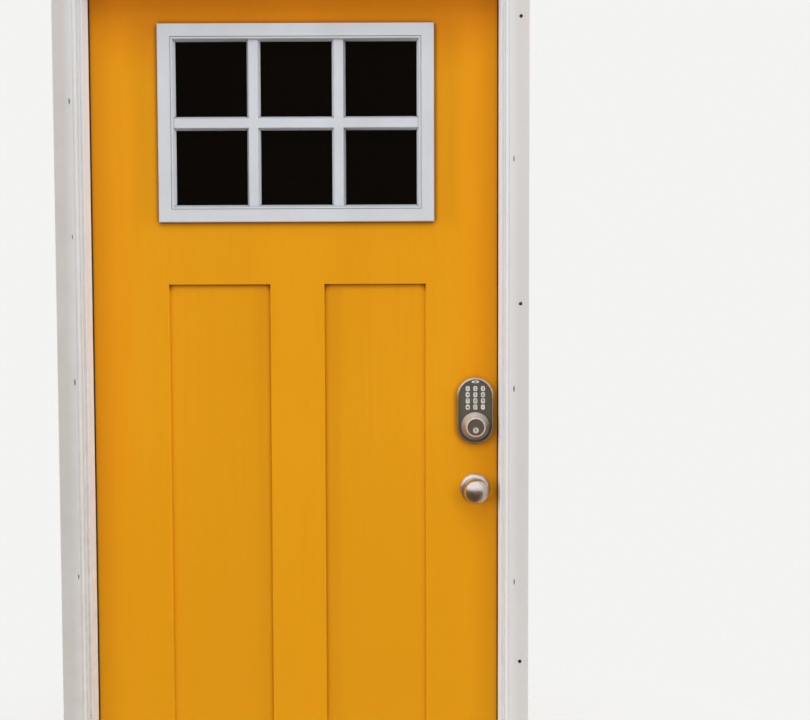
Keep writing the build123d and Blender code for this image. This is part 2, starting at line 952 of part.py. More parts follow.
def inner_lite_frame():
    frame = joined([lite_ring("inside")] + bar_solids("inside"))
    for boss in lite_bosses("inside", boss_radius, inner_boss_depth):
        frame += boss
    holes = lite_bosses("inside", lite_screw_radius + fit_clearance, inner_boss_depth + 1,
                        lite_proud + 1)
    sinks = lite_bosses("inside", lite_screw_head + fit_clearance, -lite_head_seat, lite_proud + 1)
    return less(frame, holes + sinks)


def lite_screws():
    depth = slab_thickness + lite_screw_tip
    shanks = lite_bosses("inside", lite_screw_radius, depth, lite_head_seat)
    heads = lite_bosses("inside", lite_screw_head, -lite_head_seat, lite_head_top)
    return group([shank + head for shank, head in zip(shanks, heads)])


def pane(y0):
    half_w = lite_width / 2 - glass_inset
    half_h = lite_height / 2 - glass_inset
    return block(field_shift - half_w, field_shift + half_w, y0, y0 + glass_pane,
                 lite_centre - half_h, lite_centre + half_h)


def glass_spacer():
    half_w = lite_width / 2 - glass_inset - 1.0
    half_h = lite_height / 2 - glass_inset - 1.0
    y0 = slab_outer_y + glass_depth + glass_pane
    y1 = inner_y - glass_depth - glass_pane
    outer = block(field_shift - half_w, field_shift + half_w, y0, y1,
                  lite_centre - half_h, lite_centre + half_h)
    half_w -= spacer_width
    half_h -= spacer_width
    return outer - block(field_shift - half_w, field_shift + half_w, y0 - 1, y1 + 1,
                         lite_centre - half_h, lite_centre + half_h)


# Latch, deadbolt and strikes

def bolt_case(z, bolt_width, bolt_height, bolt_length, hub_radius):
    """A tube with its faceplate, bored out for the bolt and for the spindle that crosses it."""
    x0 = slab_half - bolt_case_length
    case = rod_x(slab_mid_y, z, x0, slab_half - faceplate_thickness, bolt_case_radius)
    case += faceplate(z, slab_half, faceplate_thickness)
    half_w = bolt_width / 2 + bolt_clearance
    half_h = bolt_height / 2 + bolt_clearance
    cavity = block(slab_half - bolt_length - 2, slab_half + 1, slab_mid_y - half_w,
                   slab_mid_y + half_w, z - half_h, z + half_h)
    hub = rod_y(lock_x, z, slab_mid_y - bolt_case_radius - 1,
                slab_mid_y + bolt_case_radius + 1, hub_radius)
    screws = [flat_screw(p, stile_screw_length, fit_clearance) for p in faceplate_screw_planes(z)]
    return less(case, [cavity, hub] + screws)


def latch_case():
    return bolt_case(knob_z, latch_width, latch_height, latch_length, 6.6)


def deadbolt_case():
    return bolt_case(deadbolt_z, deadbolt_width, deadbolt_height, deadbolt_length, 6.0)


def latch_bolt():
    """Drawn back, with the bevel that meets the strike as the door closes."""
    x1 = bolt_tip_x
    x0 = x1 - latch_length
    y0 = slab_mid_y - latch_width / 2
    y1 = slab_mid_y + latch_width / 2
    face = polygon([
        (x0, y0), (x1 - latch_bevel, y0), (x1, y1 - 2.6), (x1, y1), (x0, y1),
    ])
    return prism_z(face, knob_z - latch_height / 2, knob_z + latch_height / 2)


def deadbolt():
    x1 = bolt_tip_x
    bolt = block(x1 - deadbolt_length, x1, slab_mid_y - deadbolt_width / 2, slab_mid_y + deadbolt_width / 2,
                 deadbolt_z - deadbolt_height / 2, deadbolt_z + deadbolt_height / 2)
    tip = bolt.edges().group_by(Axis.X)[-1]
    return chamfer(tip, 1.0)


def strike_plate(z, hole_width, hole_height, lip):
    """A plate let into the strike jamb. The latch's has a curved lip that runs to the jamb's edge."""
    y0 = slab_mid_y - strike_width / 2
    y1 = slab_mid_y + strike_width / 2
    plate = block(rabbet_half, rabbet_half + strike_thickness, y0, y1,
                  z - strike_height / 2, z + strike_height / 2)
    corners = plate.edges().filter_by(Axis.X)
    plate = fillet(corners, faceplate_corner)
    if lip:
        half = strike_height / 2 - faceplate_corner - 4
        plate += block(rabbet_half, rabbet_half + strike_thickness, y1 - 1, inner_y,
                       z - half, z + half)
        bend = polygon([
            (rabbet_half, inner_y), (rabbet_half + strike_thickness, inner_y),
            (rabbet_half + strike_thickness + 2.6, inner_y + 3.6),
            (rabbet_half + 1.4, inner_y + 4.6),
        ])
        plate += prism_z(bend, z - half, z + half)
    hole = block(rabbet_half - 1, rabbet_half + strike_thickness + 1,
                 slab_mid_y - hole_width / 2, slab_mid_y + hole_width / 2,
                 z - hole_height / 2, z + hole_height / 2)
    screws = [flat_screw(p, jamb_screw_length, fit_clearance) for p in strike_screw_planes(z)]
    return less(plate, [hole] + screws)


def strike_screw_planes(z):
    return [
        Plane(origin=(rabbet_half, slab_mid_y, z + dz), x_dir=(0, 1, 0), z_dir=(-1, 0, 0))
        for dz in (-strike_screw_pitch / 2, strike_screw_pitch / 2)
    ]


def strike_plates():
    return group([
        strike_plate(knob_z, latch_width + 2 * pocket_clearance,
                     latch_height + 2 * pocket_clearance, True),
        strike_plate(deadbolt_z, deadbolt_width + 2 * pocket_clearance,
                     deadbolt_height + 2 * pocket_clearance, False),
    ])


def strike_seat(z, lip):
    """The recess in the jamb that a strike plate fills."""
    y0 = slab_mid_y - strike_width / 2
    y1 = slab_mid_y + strike_width / 2
    seat = block(rabbet_half, rabbet_half + strike_thickness, y0, y1,
                 z - strike_height / 2, z + strike_height / 2)
    seat = fillet(seat.edges().filter_by(Axis.X), faceplate_corner)
    if lip:
        half = strike_height / 2 - faceplate_corner - 4
        seat += block(rabbet_half, rabbet_half + strike_thickness, y1 - 1, inner_y + 1,
                      z - half, z + half)
        bend = polygon([
            (rabbet_half, inner_y - 3), (rabbet_half + strike_thickness, inner_y - 3),
            (rabbet_half + strike_thickness + 4, inner_y + 1), (rabbet_half, inner_y + 1),
        ])
        seat += prism_z(bend, z - half, z + half)
    return seat


def strike_jamb():
    jamb = jamb_leg(1)
    cutters = [strike_seat(knob_z, True), strike_seat(deadbolt_z, False)]
    latch_half = latch_width / 2 + pocket_clearance
    bolt_half = deadbolt_width / 2 + pocket_clearance
    cutters.append(block(
        rabbet_half, bolt_tip_x + latch_throw + latch_pocket_room,
        slab_mid_y - latch_half, slab_mid_y + latch_half,
        knob_z - latch_height / 2 - pocket_clearance, knob_z + latch_height / 2 + pocket_clearance))
    cutters.append(block(
        rabbet_half - 1, frame_half + 1, slab_mid_y - bolt_half, slab_mid_y + bolt_half,
        deadbolt_z - deadbolt_height / 2 - pocket_clearance,
        deadbolt_z + deadbolt_height / 2 + pocket_clearance))
    for z in (knob_z, deadbolt_z):
        planes = strike_screw_planes(z)
        cutters += [flat_screw(p, jamb_screw_length, fit_clearance) for p in planes]
    return less(jamb, cutters)


def hinge_jamb():
    jamb = jamb_leg(-1)
    cutters = []
    for z in hinge_centres:
        cutters.append(leaf_plate(frame_leaf_x, z))
        planes = leaf_screw_planes(-rabbet_half, 1, z)
        cutters += [flat_screw(p, jamb_screw_length, fit_clearance) for p in planes]
    return less(jamb, cutters)


def frame_screws():
    screws = []
    for z in hinge_centres:
        planes = leaf_screw_planes(-rabbet_half, 1, z)
        screws += [flat_screw(p, jamb_screw_length) for p in planes]
    for z in (knob_z, deadbolt_z):
        screws += [flat_screw(p, jamb_screw_length) for p in strike_screw_planes(z)]
    screws += [adjuster(x) for x in adjuster_places]
    return group(screws)


def door_screws():
    screws = []
    for z in hinge_centres:
        planes = leaf_screw_planes(door_leaf_x, -1, z)
        screws += [flat_screw(p, stile_screw_length) for p in planes]
    for z in (knob_z, deadbolt_z):
        screws += [flat_screw(p, stile_screw_length) for p in faceplate_screw_planes(z)]
    return group(screws)


# Knob set

rose_bolt_offset = through_bolt_pitch / 2


def rose_face():
    """Half section of a rose: a stepped dish with a rolled edge."""
    outline = Polyline(
        (rose_bore, 0), (rose_radius, 0), (rose_radius, 2.2), (rose_radius - 1.2, 3.4),
    )
    dome = ThreePointArc(
        (rose_radius - 1.2, 3.4), (rose_radius - 4.6, 6.2), (rose_radius - 9.5, 7.4))
    crown = Polyline(
        (rose_radius - 9.5, 7.4), (rose_radius - 10.5, rose_height),
        (rose_bore + 1.5, rose_height), (rose_bore, rose_height - 1.5), (rose_bore, 0),
    )
    return make_face(outline + dome + crown)


def rose_bolt(z, grow=0.0):
    """A through bolt of the knob set, from the inner rose into the outer one."""
    y0 = slab_outer_y - 5.0
    y1 = inner_y + 5.0
    shank = rod_y(lock_x, z, y0, y1, through_bolt_radius + grow)
    return shank + rod_y(lock_x, z, y1, y1 + through_bolt_head, through_bolt_head_radius + grow)


def rose_bolts(grow=0.0):
    return [rose_bolt(knob_z + s * rose_bolt_offset, grow) for s in (-1, 1)]


def outer_rose():
    return less(turned("outside", lock_x, knob_z, rose_face()), rose_bolts(fit_clearance))


def inner_rose():
    head_room = [
        rod_y(lock_x, knob_z + s * rose_bolt_offset, inner_y + 5.0, inner_y + rose_height + 1,
              through_bolt_head_radius + 0.3)
        for s in (-1, 1)
    ]
    rose = turned("inside", lock_x, knob_z, rose_face())
    return less(rose, rose_bolts(fit_clearance) + head_room)


def knob_face():
    """Half section of a knob: neck, flare and flattened ball, of arcs that run into each other."""
    neck_radius = rose_bore - neck_clearance
    lean = math.atan(knob_flare)
    spread = knob_radius - neck_radius
    bend = knob_flare * (knob_waist - knob_neck) - spread
    bend /= knob_flare * math.sin(lean) - 1 + math.cos(lean)
    crown_height = knob_reach - knob_waist
    crown_radius = knob_radius ** 2 + crown_height ** 2 - 2 * knob_radius * knob_shoulder
    crown_radius /= 2 * (crown_height - knob_shoulder)
    tilt = math.atan2(crown_radius - crown_height, knob_radius - knob_shoulder)

    def flare_point(angle):
        return (knob_radius - bend * (1 - math.cos(angle)), knob_waist - bend * math.sin(angle))

    def shoulder_point(angle):
        return (knob_radius - knob_shoulder * (1 - math.cos(angle)),
                knob_waist + knob_shoulder * math.sin(angle))

    crown_middle = (
        crown_radius * math.cos((tilt + math.pi / 2) / 2),
        knob_reach - crown_radius * (1 - math.sin((tilt + math.pi / 2) / 2)),
    )
    neck = Polyline(
        (0, knob_reach), (0, knob_back), (neck_radius, knob_back), (neck_radius, knob_neck),
        flare_point(lean),
    )
    flare = ThreePointArc(flare_point(lean), flare_point(lean / 2), flare_point(0))
    shoulder = ThreePointArc(flare_point(0), shoulder_point(tilt / 2), shoulder_point(tilt))
    crown = ThreePointArc(shoulder_point(tilt), crown_middle, (0, knob_reach))
    return make_face(neck + flare + shoulder + crown)


def spindle_box(grow, reach):
    half = spindle_width / 2 + grow
    return block(lock_x - half, lock_x + half, slab_outer_y - reach, inner_y + reach,
                 knob_z - half, knob_z + half)


def knob(side):
    socket = spindle_box(socket_clearance, spindle_socket + 0.5)
    return turned(side, lock_x, knob_z, knob_face()) - socket


# Keypad deadbolt, outside

housing_centre = deadbolt_z + (housing_height - housing_width) / 2


def stadium(grow):
    """The housing's outline, round at both ends. Its lower round end is about the bolt's axis."""
    return SlotOverall(housing_height + 2 * grow, housing_width + 2 * grow, rotation=90)


def key_places():
    """Twelve keys in four rows of three, as name, x and z."""
    names = ("1", "2", "3", "4", "5", "6", "7", "8", "9", "lock", "0", "enter")
    places = []
    for index, name in enumerate(names):
        row, column = divmod(index, 3)
        x = lock_x + (column - 1) * key_pitch_x
        z = deadbolt_z + key_top_rise - row * key_pitch_z
        places.append((name, x, z))
    return places


face_floor = housing_proud - face_recess
face_front = face_floor + face_thickness
key_front = face_front + key_proud
key_back = key_front - key_depth


def key_prism(x, z, low, high, grow):
    plane = wall_plane("outside", x, z, low)
    shape = RectangleRounded(key_width + 2 * grow, key_height + 2 * grow, key_corner + grow)
    return extrude(plane * shape, high - low)


def key_solid(x, z):
    return key_prism(x, z, key_back, key_front, 0.0)


def keypad_housing():
    """A round-ended case with a raised rim, pockets behind the keys and the cylinder's bore."""
    body = extrude(wall_plane("outside", lock_x, housing_centre) * stadium(0), housing_proud)
    front = body.edges().group_by(Axis.Y)[0]
    body = fillet(front, housing_round)
    floor = wall_plane("outside", lock_x, housing_centre, face_floor)
    body -= extrude(floor * stadium(-housing_rim), face_recess + 1)
    cutters = [
        key_prism(x, z, key_back - key_travel - 0.4, face_floor + 1, key_clearance)
        for _, x, z in key_places()
    ]
    cutters += [plug_rod(key_clearance, 2.0)]
    cutters += [bolt for bolt in housing_bolts(fit_clearance)]
    return less(body, cutters)


def sensor_window(low, high):
    """The oval window over the keys."""
    plane = wall_plane("outside", lock_x, deadbolt_z + window_rise, low)
    return extrude(plane * Ellipse(window_width / 2, window_height / 2), high - low)


def keypad_face():
    """The dark insert inside the rim, cut out for the keys and dished for the window."""
    floor = wall_plane("outside", lock_x, housing_centre, face_floor)
    face = extrude(floor * stadium(-housing_rim - 0.1), face_thickness)
    cutters = [
        key_prism(x, z, face_floor - 1, face_front + 1, key_clearance)
        for _, x, z in key_places()
    ]
    cutters.append(sensor_window(face_front - 0.6, face_front + 1))
    cutters.append(turned("outside", lock_x, deadbolt_z, polygon([
        (0, 0), (collar_front_radius - 4, 0), (collar_front_radius - 4, 40), (0, 40)])))
    return less(face, cutters)


def plug_rod(grow, low):
    """The key plug's round bar, below the middle of the cylinder."""
    z = deadbolt_z - plug_drop
    front = slab_outer_y - (collar_proud - plug_recess)
    back = front + plug_length
    if low > 0:
        back = slab_outer_y - low
    return rod_y(lock_x, z, front - (1 if grow > 0 else 0), back, plug_radius + grow)


def cylinder_collar():
    """A cone that guards the cylinder, turned in one with the face that the plug sits in."""
    profile = polygon([
        (0, face_floor),
        (collar_front_radius - 4, face_floor),
        (collar_front_radius - 4, face_front),
        (collar_base_radius, face_front),
        (collar_base_radius, face_front + 1.6),
        (collar_front_radius + 0.6, collar_proud - 1.2),
        (collar_front_radius - 0.6, collar_proud),
        (collar_front_radius - collar_lip, collar_proud),
        (collar_front_radius - collar_lip, collar_proud - plug_recess),
        (0, collar_proud - plug_recess),
    ])
    collar = turned("outside", lock_x, deadbolt_z, profile)
    return collar - plug_rod(fit_clearance, 1.0)


def cylinder_plug():
    plug = plug_rod(0.0, 0.0)
    z = deadbolt_z - plug_drop
    front = slab_outer_y - (collar_proud - plug_recess)
    half = keyway_width / 2
    return plug - block(lock_x - half, lock_x + half, front - 1, front + keyway_depth,
                        z - keyway_height / 2, z + keyway_height / 2)


# Keypad deadbolt, inside

inner_low = deadbolt_z - 46.0
inner_centre = inner_low + inner_height / 2
bay_centre = deadbolt_z + bay_rise + bay_height / 2
cover_low = bay_centre - bay_height / 2 - cover_lap
cover_high = inner_low + inner_height
cover_seat_y = inner_y + inner_proud - cover_thickness


def housing_bolt(z, grow=0.0):
    y0 = slab_outer_y - 8.0
    y1 = inner_y + inner_proud - bay_depth - through_bolt_head
    shank = rod_y(lock_x, z, y0, y1, through_bolt_radius + grow)
    return shank + rod_y(lock_x, z, y1, y1 + through_bolt_head, through_bolt_head_radius + grow)


def housing_bolts(grow=0.0):
    return [housing_bolt(deadbolt_z + s * through_bolt_pitch / 2, grow) for s in (-1, 1)]


def inner_plate(width, height, z, low, high, corner):
    plane = wall_plane("inside", lock_x, z, low)
    return extrude(plane * RectangleRounded(width, height, corner), high - low)


def cover_plate(grow, front_y, top):
    """The cover's outline and its two hooked rails, grown by a clearance."""
    low = cover_low - grow
    half = cover_width / 2
    plate = block(lock_x - half - grow, lock_x + half + grow, cover_seat_y - grow, front_y,
                  low, top)
    rails = []
    for side in (1, -1):
        root = lock_x + side * (half - cover_rail - grow)
        foot_y = cover_seat_y - rail_depth
        rails.append(block(root, lock_x + side * (half + grow),
                           foot_y - grow, cover_seat_y + 0.5, low, top))
        rails.append(block(root, lock_x + side * (half + cover_hook + grow),
                           foot_y - grow, foot_y + rail_depth / 2 + grow, low, top))
    return plate, rails


def inner_lock_housing():
    body = inner_plate(inner_width, inner_height, inner_centre, 0, inner_proud, inner_corner)
    front = body.edges().group_by(Axis.Y)[-1]
    body = fillet(front, 3.0)
    bay_y0 = inner_y + inner_proud - bay_depth
    half = bay_width / 2
    slot, rails = cover_plate(cover_clearance, inner_y + inner_proud + 1, cover_high + 1)
    bay = block(lock_x - half, lock_x + half, bay_y0, inner_y + inner_proud + 1,
                bay_centre - bay_height / 2, bay_centre + bay_height / 2)
    hub = rod_y(lock_x, deadbolt_z, inner_y - 1, inner_y + inner_proud + 1,
                turn_hub_radius + pin_clearance)
    reach = [
        rod_y(lock_x, deadbolt_z + s * through_bolt_pitch / 2, bay_y0 - through_bolt_head,
              inner_y + inner_proud + 1, through_bolt_head_radius + 0.3)
        for s in (-1, 1)
    ]
    cutters = [slot, bay, hub] + rails + reach + housing_bolts(fit_clearance)
    return less(body, cutters)


def battery_cover():
    """A cover that slides off upwards on two hooked rails, with ribs for the thumb."""
    front_y = inner_y + inner_proud
    plate, rails = cover_plate(0.0, front_y, cover_high - inner_corner)
    crown = block(lock_x - cover_width / 2, lock_x + cover_width / 2, cover_seat_y, front_y,
                  cover_high - 2 * inner_corner, cover_high)
    edge = crown.edges().filter_by(Axis.Y).group_by(Axis.Z)[-1]
    cover = joined([plate, fillet(edge, inner_corner - 4)] + rails)
    for step in range(4):
        z = cover_high - 20 - step * 5
        cover += block(lock_x - 11, lock_x + 11, front_y - 0.5, front_y + grip_rib, z - 1, z + 1)
    return cover


def batteries():
    """Four round cells, side by side on the floor of the bay."""
    y = inner_y + inner_proud - bay_depth + battery_radius + 0.1
    pitch = 2 * battery_radius + 0.3
    low = bay_centre - battery_length / 2
    cells = []
    for index in range(4):
        x = lock_x + (index - 1.5) * pitch
        flip = index % 2
        body_low = low + (battery_cap if flip else 0)
        body = Pos(x, y, body_low) * Cylinder(
            battery_radius, battery_length - battery_cap,
            align=(Align.CENTER, Align.CENTER, Align.MIN))
        cap_low = low if flip else low + battery_length - battery_cap
        cap = Pos(x, y, cap_low) * Cylinder(
            battery_cap_radius, battery_cap, align=(Align.CENTER, Align.CENTER, Align.MIN))
        cells.append(body + cap)
    return group(cells)


def thumb_turn():
    """Oval grip, round base and hub, and the flat blade that turns the bolt's cam."""
    start = inner_proud + 0.3
    base = turned("inside", lock_x, deadbolt_z, polygon([
        (0, start), (turn_base_radius, start), (turn_base_radius - 1.2, start + turn_base),
        (0, start + turn_base)]))
    hub = rod_y(lock_x, deadbolt_z, inner_y + 4, inner_y + start + 1, turn_hub_radius)
    plane = wall_plane("inside", lock_x, deadbolt_z, start + turn_base - 0.5)
    grip = extrude(plane * SlotOverall(turn_length, turn_width, rotation=90),
                   turn_proud - turn_base, taper=4)
    grip = fillet(grip.edges().group_by(Axis.Y)[-1], 1.6)
    blade = block(lock_x - blade_thickness / 2, lock_x + blade_thickness / 2,
                  slab_mid_y - 9, inner_y + 5,
                  deadbolt_z - blade_width / 2, deadbolt_z + blade_width / 2)
    return base + hub + grip + blade


def lock_screws():
    return group(rose_bolts() + housing_bolts())


parts = {
    "hinge_jamb": hinge_jamb(),
    "strike_jamb": strike_jamb(),
    "head_jamb": jamb_head(),
    "brickmould_hinge_side": mould_leg(-1, hinge_nail_shares),
    "brickmould_strike_side": mould_leg(1, strike_nail_shares),
    "brickmould_head": mould_head(),
    "sill_substrate": sill_substrate(),
    "sill_deck": sill_deck(),
    "sill_cap": sill_cap(),
    "weatherstrips": weatherstrips(),
    "frame_hinge_leaves": group([frame_leaf(z) for z in hinge_centres]),
    "hinge_pins": group([hinge_pin(z) for z in hinge_centres]),
    "frame_screws": frame_screws(),
    "strike_plates": strike_plates(),
    "outer_skin": skin("outside"),
    "inner_skin": skin("inside"),
    "hinge_stile": hinge_stile(),
    "lock_stile": lock_stile(),
    "top_rail": rail(slab_top - rail_height, slab_top),
    "bottom_rail": rail(slab_bottom, slab_bottom + rail_height),
    "foam_core": foam_core(),
    "door_sweep": door_sweep(),
    "outer_lite_frame": outer_lite_frame(),
    "inner_lite_frame": inner_lite_frame(),
    "outer_glass": pane(slab_outer_y + glass_depth),
    "inner_glass": pane(inner_y - glass_depth - glass_pane),
    "glass_spacer": glass_spacer(),
    "lite_screws": lite_screws(),
    "door_hinge_leaves": group([door_leaf(z) for z in hinge_centres]),
    "door_screws": door_screws(),
    "outer_rose": outer_rose(),
    "inner_rose": inner_rose(),
    "latch_case": latch_case(),
    "deadbolt_case": deadbolt_case(),
    "keypad_housing": keypad_housing(),
    "keypad_face": keypad_face(),
    "cylinder_collar": cylinder_collar(),
    "cylinder_plug": cylinder_plug(),
    "inner_lock_housing": inner_lock_housing(),
    "battery_cover": battery_cover(),
    "batteries": batteries(),
    "thumb_turn": thumb_turn(),
    "lock_screws": lock_screws(),
    "outer_knob": knob("outside"),
    "inner_knob": knob("inside"),
    "spindle": spindle_box(0.0, spindle_socket),
    "latch_bolt": latch_bolt(),
    "deadbolt": deadbolt(),
}
for name, x, z in key_places():
    parts["key_" + name] = key_solid(x, z)

os.makedirs("parts", exist_ok=True)
for name, shape in parts.items():
    export_step(shape, "parts/" + name + ".step")
print(len(parts), "parts")
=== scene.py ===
import json
import math

import bmesh
import bpy
from mathutils import Matrix, Vector

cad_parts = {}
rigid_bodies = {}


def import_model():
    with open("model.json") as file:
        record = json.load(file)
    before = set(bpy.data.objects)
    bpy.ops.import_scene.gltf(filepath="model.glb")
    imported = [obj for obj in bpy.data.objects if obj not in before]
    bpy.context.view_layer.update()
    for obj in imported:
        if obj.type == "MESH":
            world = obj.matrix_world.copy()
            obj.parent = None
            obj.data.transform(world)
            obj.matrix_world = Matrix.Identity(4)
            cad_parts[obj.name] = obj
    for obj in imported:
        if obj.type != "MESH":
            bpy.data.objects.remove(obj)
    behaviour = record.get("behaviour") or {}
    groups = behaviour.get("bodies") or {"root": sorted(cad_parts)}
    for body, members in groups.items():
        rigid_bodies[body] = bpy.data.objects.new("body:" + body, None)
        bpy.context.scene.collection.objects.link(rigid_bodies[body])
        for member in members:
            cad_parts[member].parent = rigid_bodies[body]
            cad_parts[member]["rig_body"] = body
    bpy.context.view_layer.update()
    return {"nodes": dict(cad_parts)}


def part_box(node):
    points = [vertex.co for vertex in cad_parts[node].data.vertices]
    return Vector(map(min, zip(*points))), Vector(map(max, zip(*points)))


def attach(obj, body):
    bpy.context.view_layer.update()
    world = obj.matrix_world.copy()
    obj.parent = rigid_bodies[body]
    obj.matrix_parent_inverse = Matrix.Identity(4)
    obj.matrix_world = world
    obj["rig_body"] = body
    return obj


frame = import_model()
nodes = frame["nodes"]


# Helpers for pieces

def addToScene(name, data):
    thing = bpy.data.objects.new(name, data)
    bpy.context.scene.collection.objects.link(thing)
    return thing


def newPiece(name, form, finish):    # form is a bmesh and is freed here
    mesh = bpy.data.meshes.new(name)
    form.to_mesh(mesh)
    form.free()
    mesh.materials.append(finish)
    return addToScene(name, mesh)


def dress(finish, names):
    for name in names:
        for place in nodes[name].material_slots:
            place.material = finish


def turned(degrees, axis):
    return Matrix.Rotation(math.radians(degrees), 4, axis)


def toned(colour, tone):
    return tuple(tone * value for value in colour)


# Helpers for finishes

def feed(tree, socket, value):    # with another node's output, a colour or a number
    if isinstance(value, bpy.types.NodeSocket):
        tree.links.new(value, socket)
    elif socket.type == "RGBA":
        socket.default_value = (*value, 1.0)
    else:
        socket.default_value = value


def addNode(tree, kind, inputs, **settings):
    made = tree.nodes.new("ShaderNode" + kind)
    for name, value in settings.items():
        setattr(made, name, value)
    for name, value in inputs.items():
        feed(tree, made.inputs[name], value)
    return made.outputs


def newFinish(name, colour, roughness, metallic=0.0):
    finish = bpy.data.materials.new(name)
    finish.use_nodes = True
    tree = finish.node_tree
    shader = tree.nodes["Principled BSDF"]
    feed(tree, shader.inputs["Base Color"], colour)
    feed(tree, shader.inputs["Roughness"], roughness)
    feed(tree, shader.inputs["Metallic"], metallic)
    return finish, tree, shader


def placed(tree, scale=(1.0, 1.0, 1.0), move=(0.0, 0.0, 0.0)):
    where = addNode(tree, "TexCoord", {})["Object"]
    return addNode(tree, "Mapping", {"Vector": where, "Scale": scale, "Location": move})["Vector"]


def axes(tree):
    return addNode(tree, "SeparateXYZ", {"Vector": placed(tree)})


def outwards(tree, middle, scale=(1.0, 1.0)):    # how far from a middle, seen along Y
    spot = placed(tree, (scale[0], 0.0, scale[1]), (-middle[0] * scale[0], 0.0, -middle[1] * scale[1]))
    return addNode(tree, "VectorMath", {0: spot}, operation="LENGTH")["Value"]


def noise(tree, vector, scale, detail, roughness=0.5, distortion=0.0):
    return addNode(tree, "TexNoise", {"Vector": vector, "Scale": scale, "Detail": detail,
                                      "Roughness": roughness, "Distortion": distortion})["Fac"]


def streaks(tree, axis, across, along, *settings):    # noise that is drawn out along one axis
    scale = [across, across, across]
    scale["XYZ".index(axis)] = along
    return noise(tree, placed(tree, scale), 1.0, *settings)


def stretched(tree, factor, low, high, outLow=0.0, outHigh=1.0):
    return addNode(tree, "MapRange", {"Value": factor, "From Min": low, "From Max": high,
                                      "To Min": outLow, "To Max": outHigh})["Result"]


def combined(tree, operation, first, second=0.0):
    return addNode(tree, "Math", {0: first, 1: second}, operation=operation)["Value"]


def times(tree, first, second):
    return combined(tree, "MULTIPLY", first, second)


def mixed(tree, factor, first, second):
    return addNode(tree, "Mix", {"Factor": factor, "A": first, "B": second}, data_type="RGBA")["Result"]


surface = {
    "noiseSpan": (0.25, 0.75),    # where most of a noise lies
    "bevelSamples": 6,
    "cornerSamples": 8,
}


def roughen(tree, shader, factor, low, high):
    feed(tree, shader.inputs["Roughness"], stretched(tree, factor, *surface["noiseSpan"], low, high))


def rounded(tree, radius):
    return addNode(tree, "Bevel", {"Radius": radius}, samples=surface["bevelSamples"])["Normal"]


def raised(tree, shader, height, depth, radius=None):    # with its edges rounded where a radius is given
    inputs = {"Distance": depth, "Height": height}
    if radius is not None:
        inputs["Normal"] = rounded(tree, radius)
    feed(tree, shader.inputs["Normal"], addNode(tree, "Bump", inputs)["Normal"])


def crevices(tree, reach, low, high):    # from ambient occlusion: 1 in a corner, 0 in the open; the colours it darkens are painted shade, with grime and tarnish mixed in where the callers say so
    light = addNode(tree, "AmbientOcclusion", {"Distance": reach}, samples=surface["cornerSamples"])["AO"]
    return stretched(tree, light, low, high, 1.0, 0.0)


# Camera, lights and floor

view = {
    "place": (0.174, -3.0865, 1.521),
    "pitch": -3.47,    # degrees from level
    "roll": -0.23,
    "lens": 63.19,
    "sensor": 36.0,
    "shift": (0.0373, -0.0638),
}


def setCamera():
    camera = addToScene("camera", bpy.data.cameras.new("camera"))
    camera.data.lens = view["lens"]
    camera.data.sensor_width = view["sensor"]
    camera.data.shift_x, camera.data.shift_y = view["shift"]
    camera.data.dof.use_dof = False
    camera.matrix_world = (Matrix.Translation(view["place"]) @ turned(90 + view["pitch"], "X")
                           @ turned(view["roll"], "Z"))
    bpy.context.scene.camera = camera


studio = {
    "skyColour": (0.97, 0.985, 1.0),
    "groundColour": (0.102, 0.061, 0.034),
    "horizon": (0.125, 0.185),
    "skyStrength": (0.78, 1.28),    # as light, and as the metal mirrors it
    "backgroundColour": (0.90, 0.90, 0.89),
    "lamps": {    # place, aim, width, height, watts, colour
        "top": ((0.15, -2.9, 5.1), (0.0, 0.0, 1.0), 3.4, 2.4, 74.0, (1.0, 0.985, 0.96)),
        "front_left": ((-2.4, -4.0, 2.1), (0.0, 0.0, 1.1), 1.5, 2.2, 41.0, (1.0, 0.985, 0.96)),
        "front_right": ((2.5, -4.0, 2.1), (0.0, 0.0, 1.1), 1.5, 2.2, 45.0, (1.0, 0.985, 0.96)),
        "side_left": ((-4.2, -0.85, 1.5), (0.4, 0.0, 1.3), 0.7, 2.8, 134.0, (0.97, 0.985, 1.0)),
        "back": ((0.6, 4.2, 2.2), (0.0, 0.0, 1.0), 2.4, 2.4, 62.0, (1.0, 0.985, 0.96)),
        "side_right": ((4.2, -0.85, 1.5), (-0.4, 0.0, 1.3), 0.7, 2.8, 124.0, (0.97, 0.985, 1.0)),
    },
}


def setWorld():
    world = bpy.data.worlds.new("studio")
    bpy.context.scene.world = world
    world.use_nodes = True
    tree = world.node_tree
    tree.nodes.clear()
    direction = addNode(tree, "TexCoord", {})["Generated"]
    up = addNode(tree, "SeparateXYZ", {"Vector": direction})["Z"]
    surroundings = mixed(tree, stretched(tree, up, *studio["horizon"]),
                         studio["groundColour"], studio["skyColour"])
    rays = addNode(tree, "LightPath", {})
    strength = stretched(tree, rays["Is Glossy Ray"], 0.0, 1.0, *studio["skyStrength"])
    light = addNode(tree, "Background", {"Color": surroundings, "Strength": strength})["Background"]
    plain = addNode(tree, "Background", {"Color": studio["backgroundColour"]})["Background"]
    either = combined(tree, "MAXIMUM", rays["Is Camera Ray"], rays["Is Transmission Ray"])
    shown = addNode(tree, "MixShader", {"Fac": either, 1: light, 2: plain})["Shader"]
    addNode(tree, "OutputWorld", {"Surface": shown})


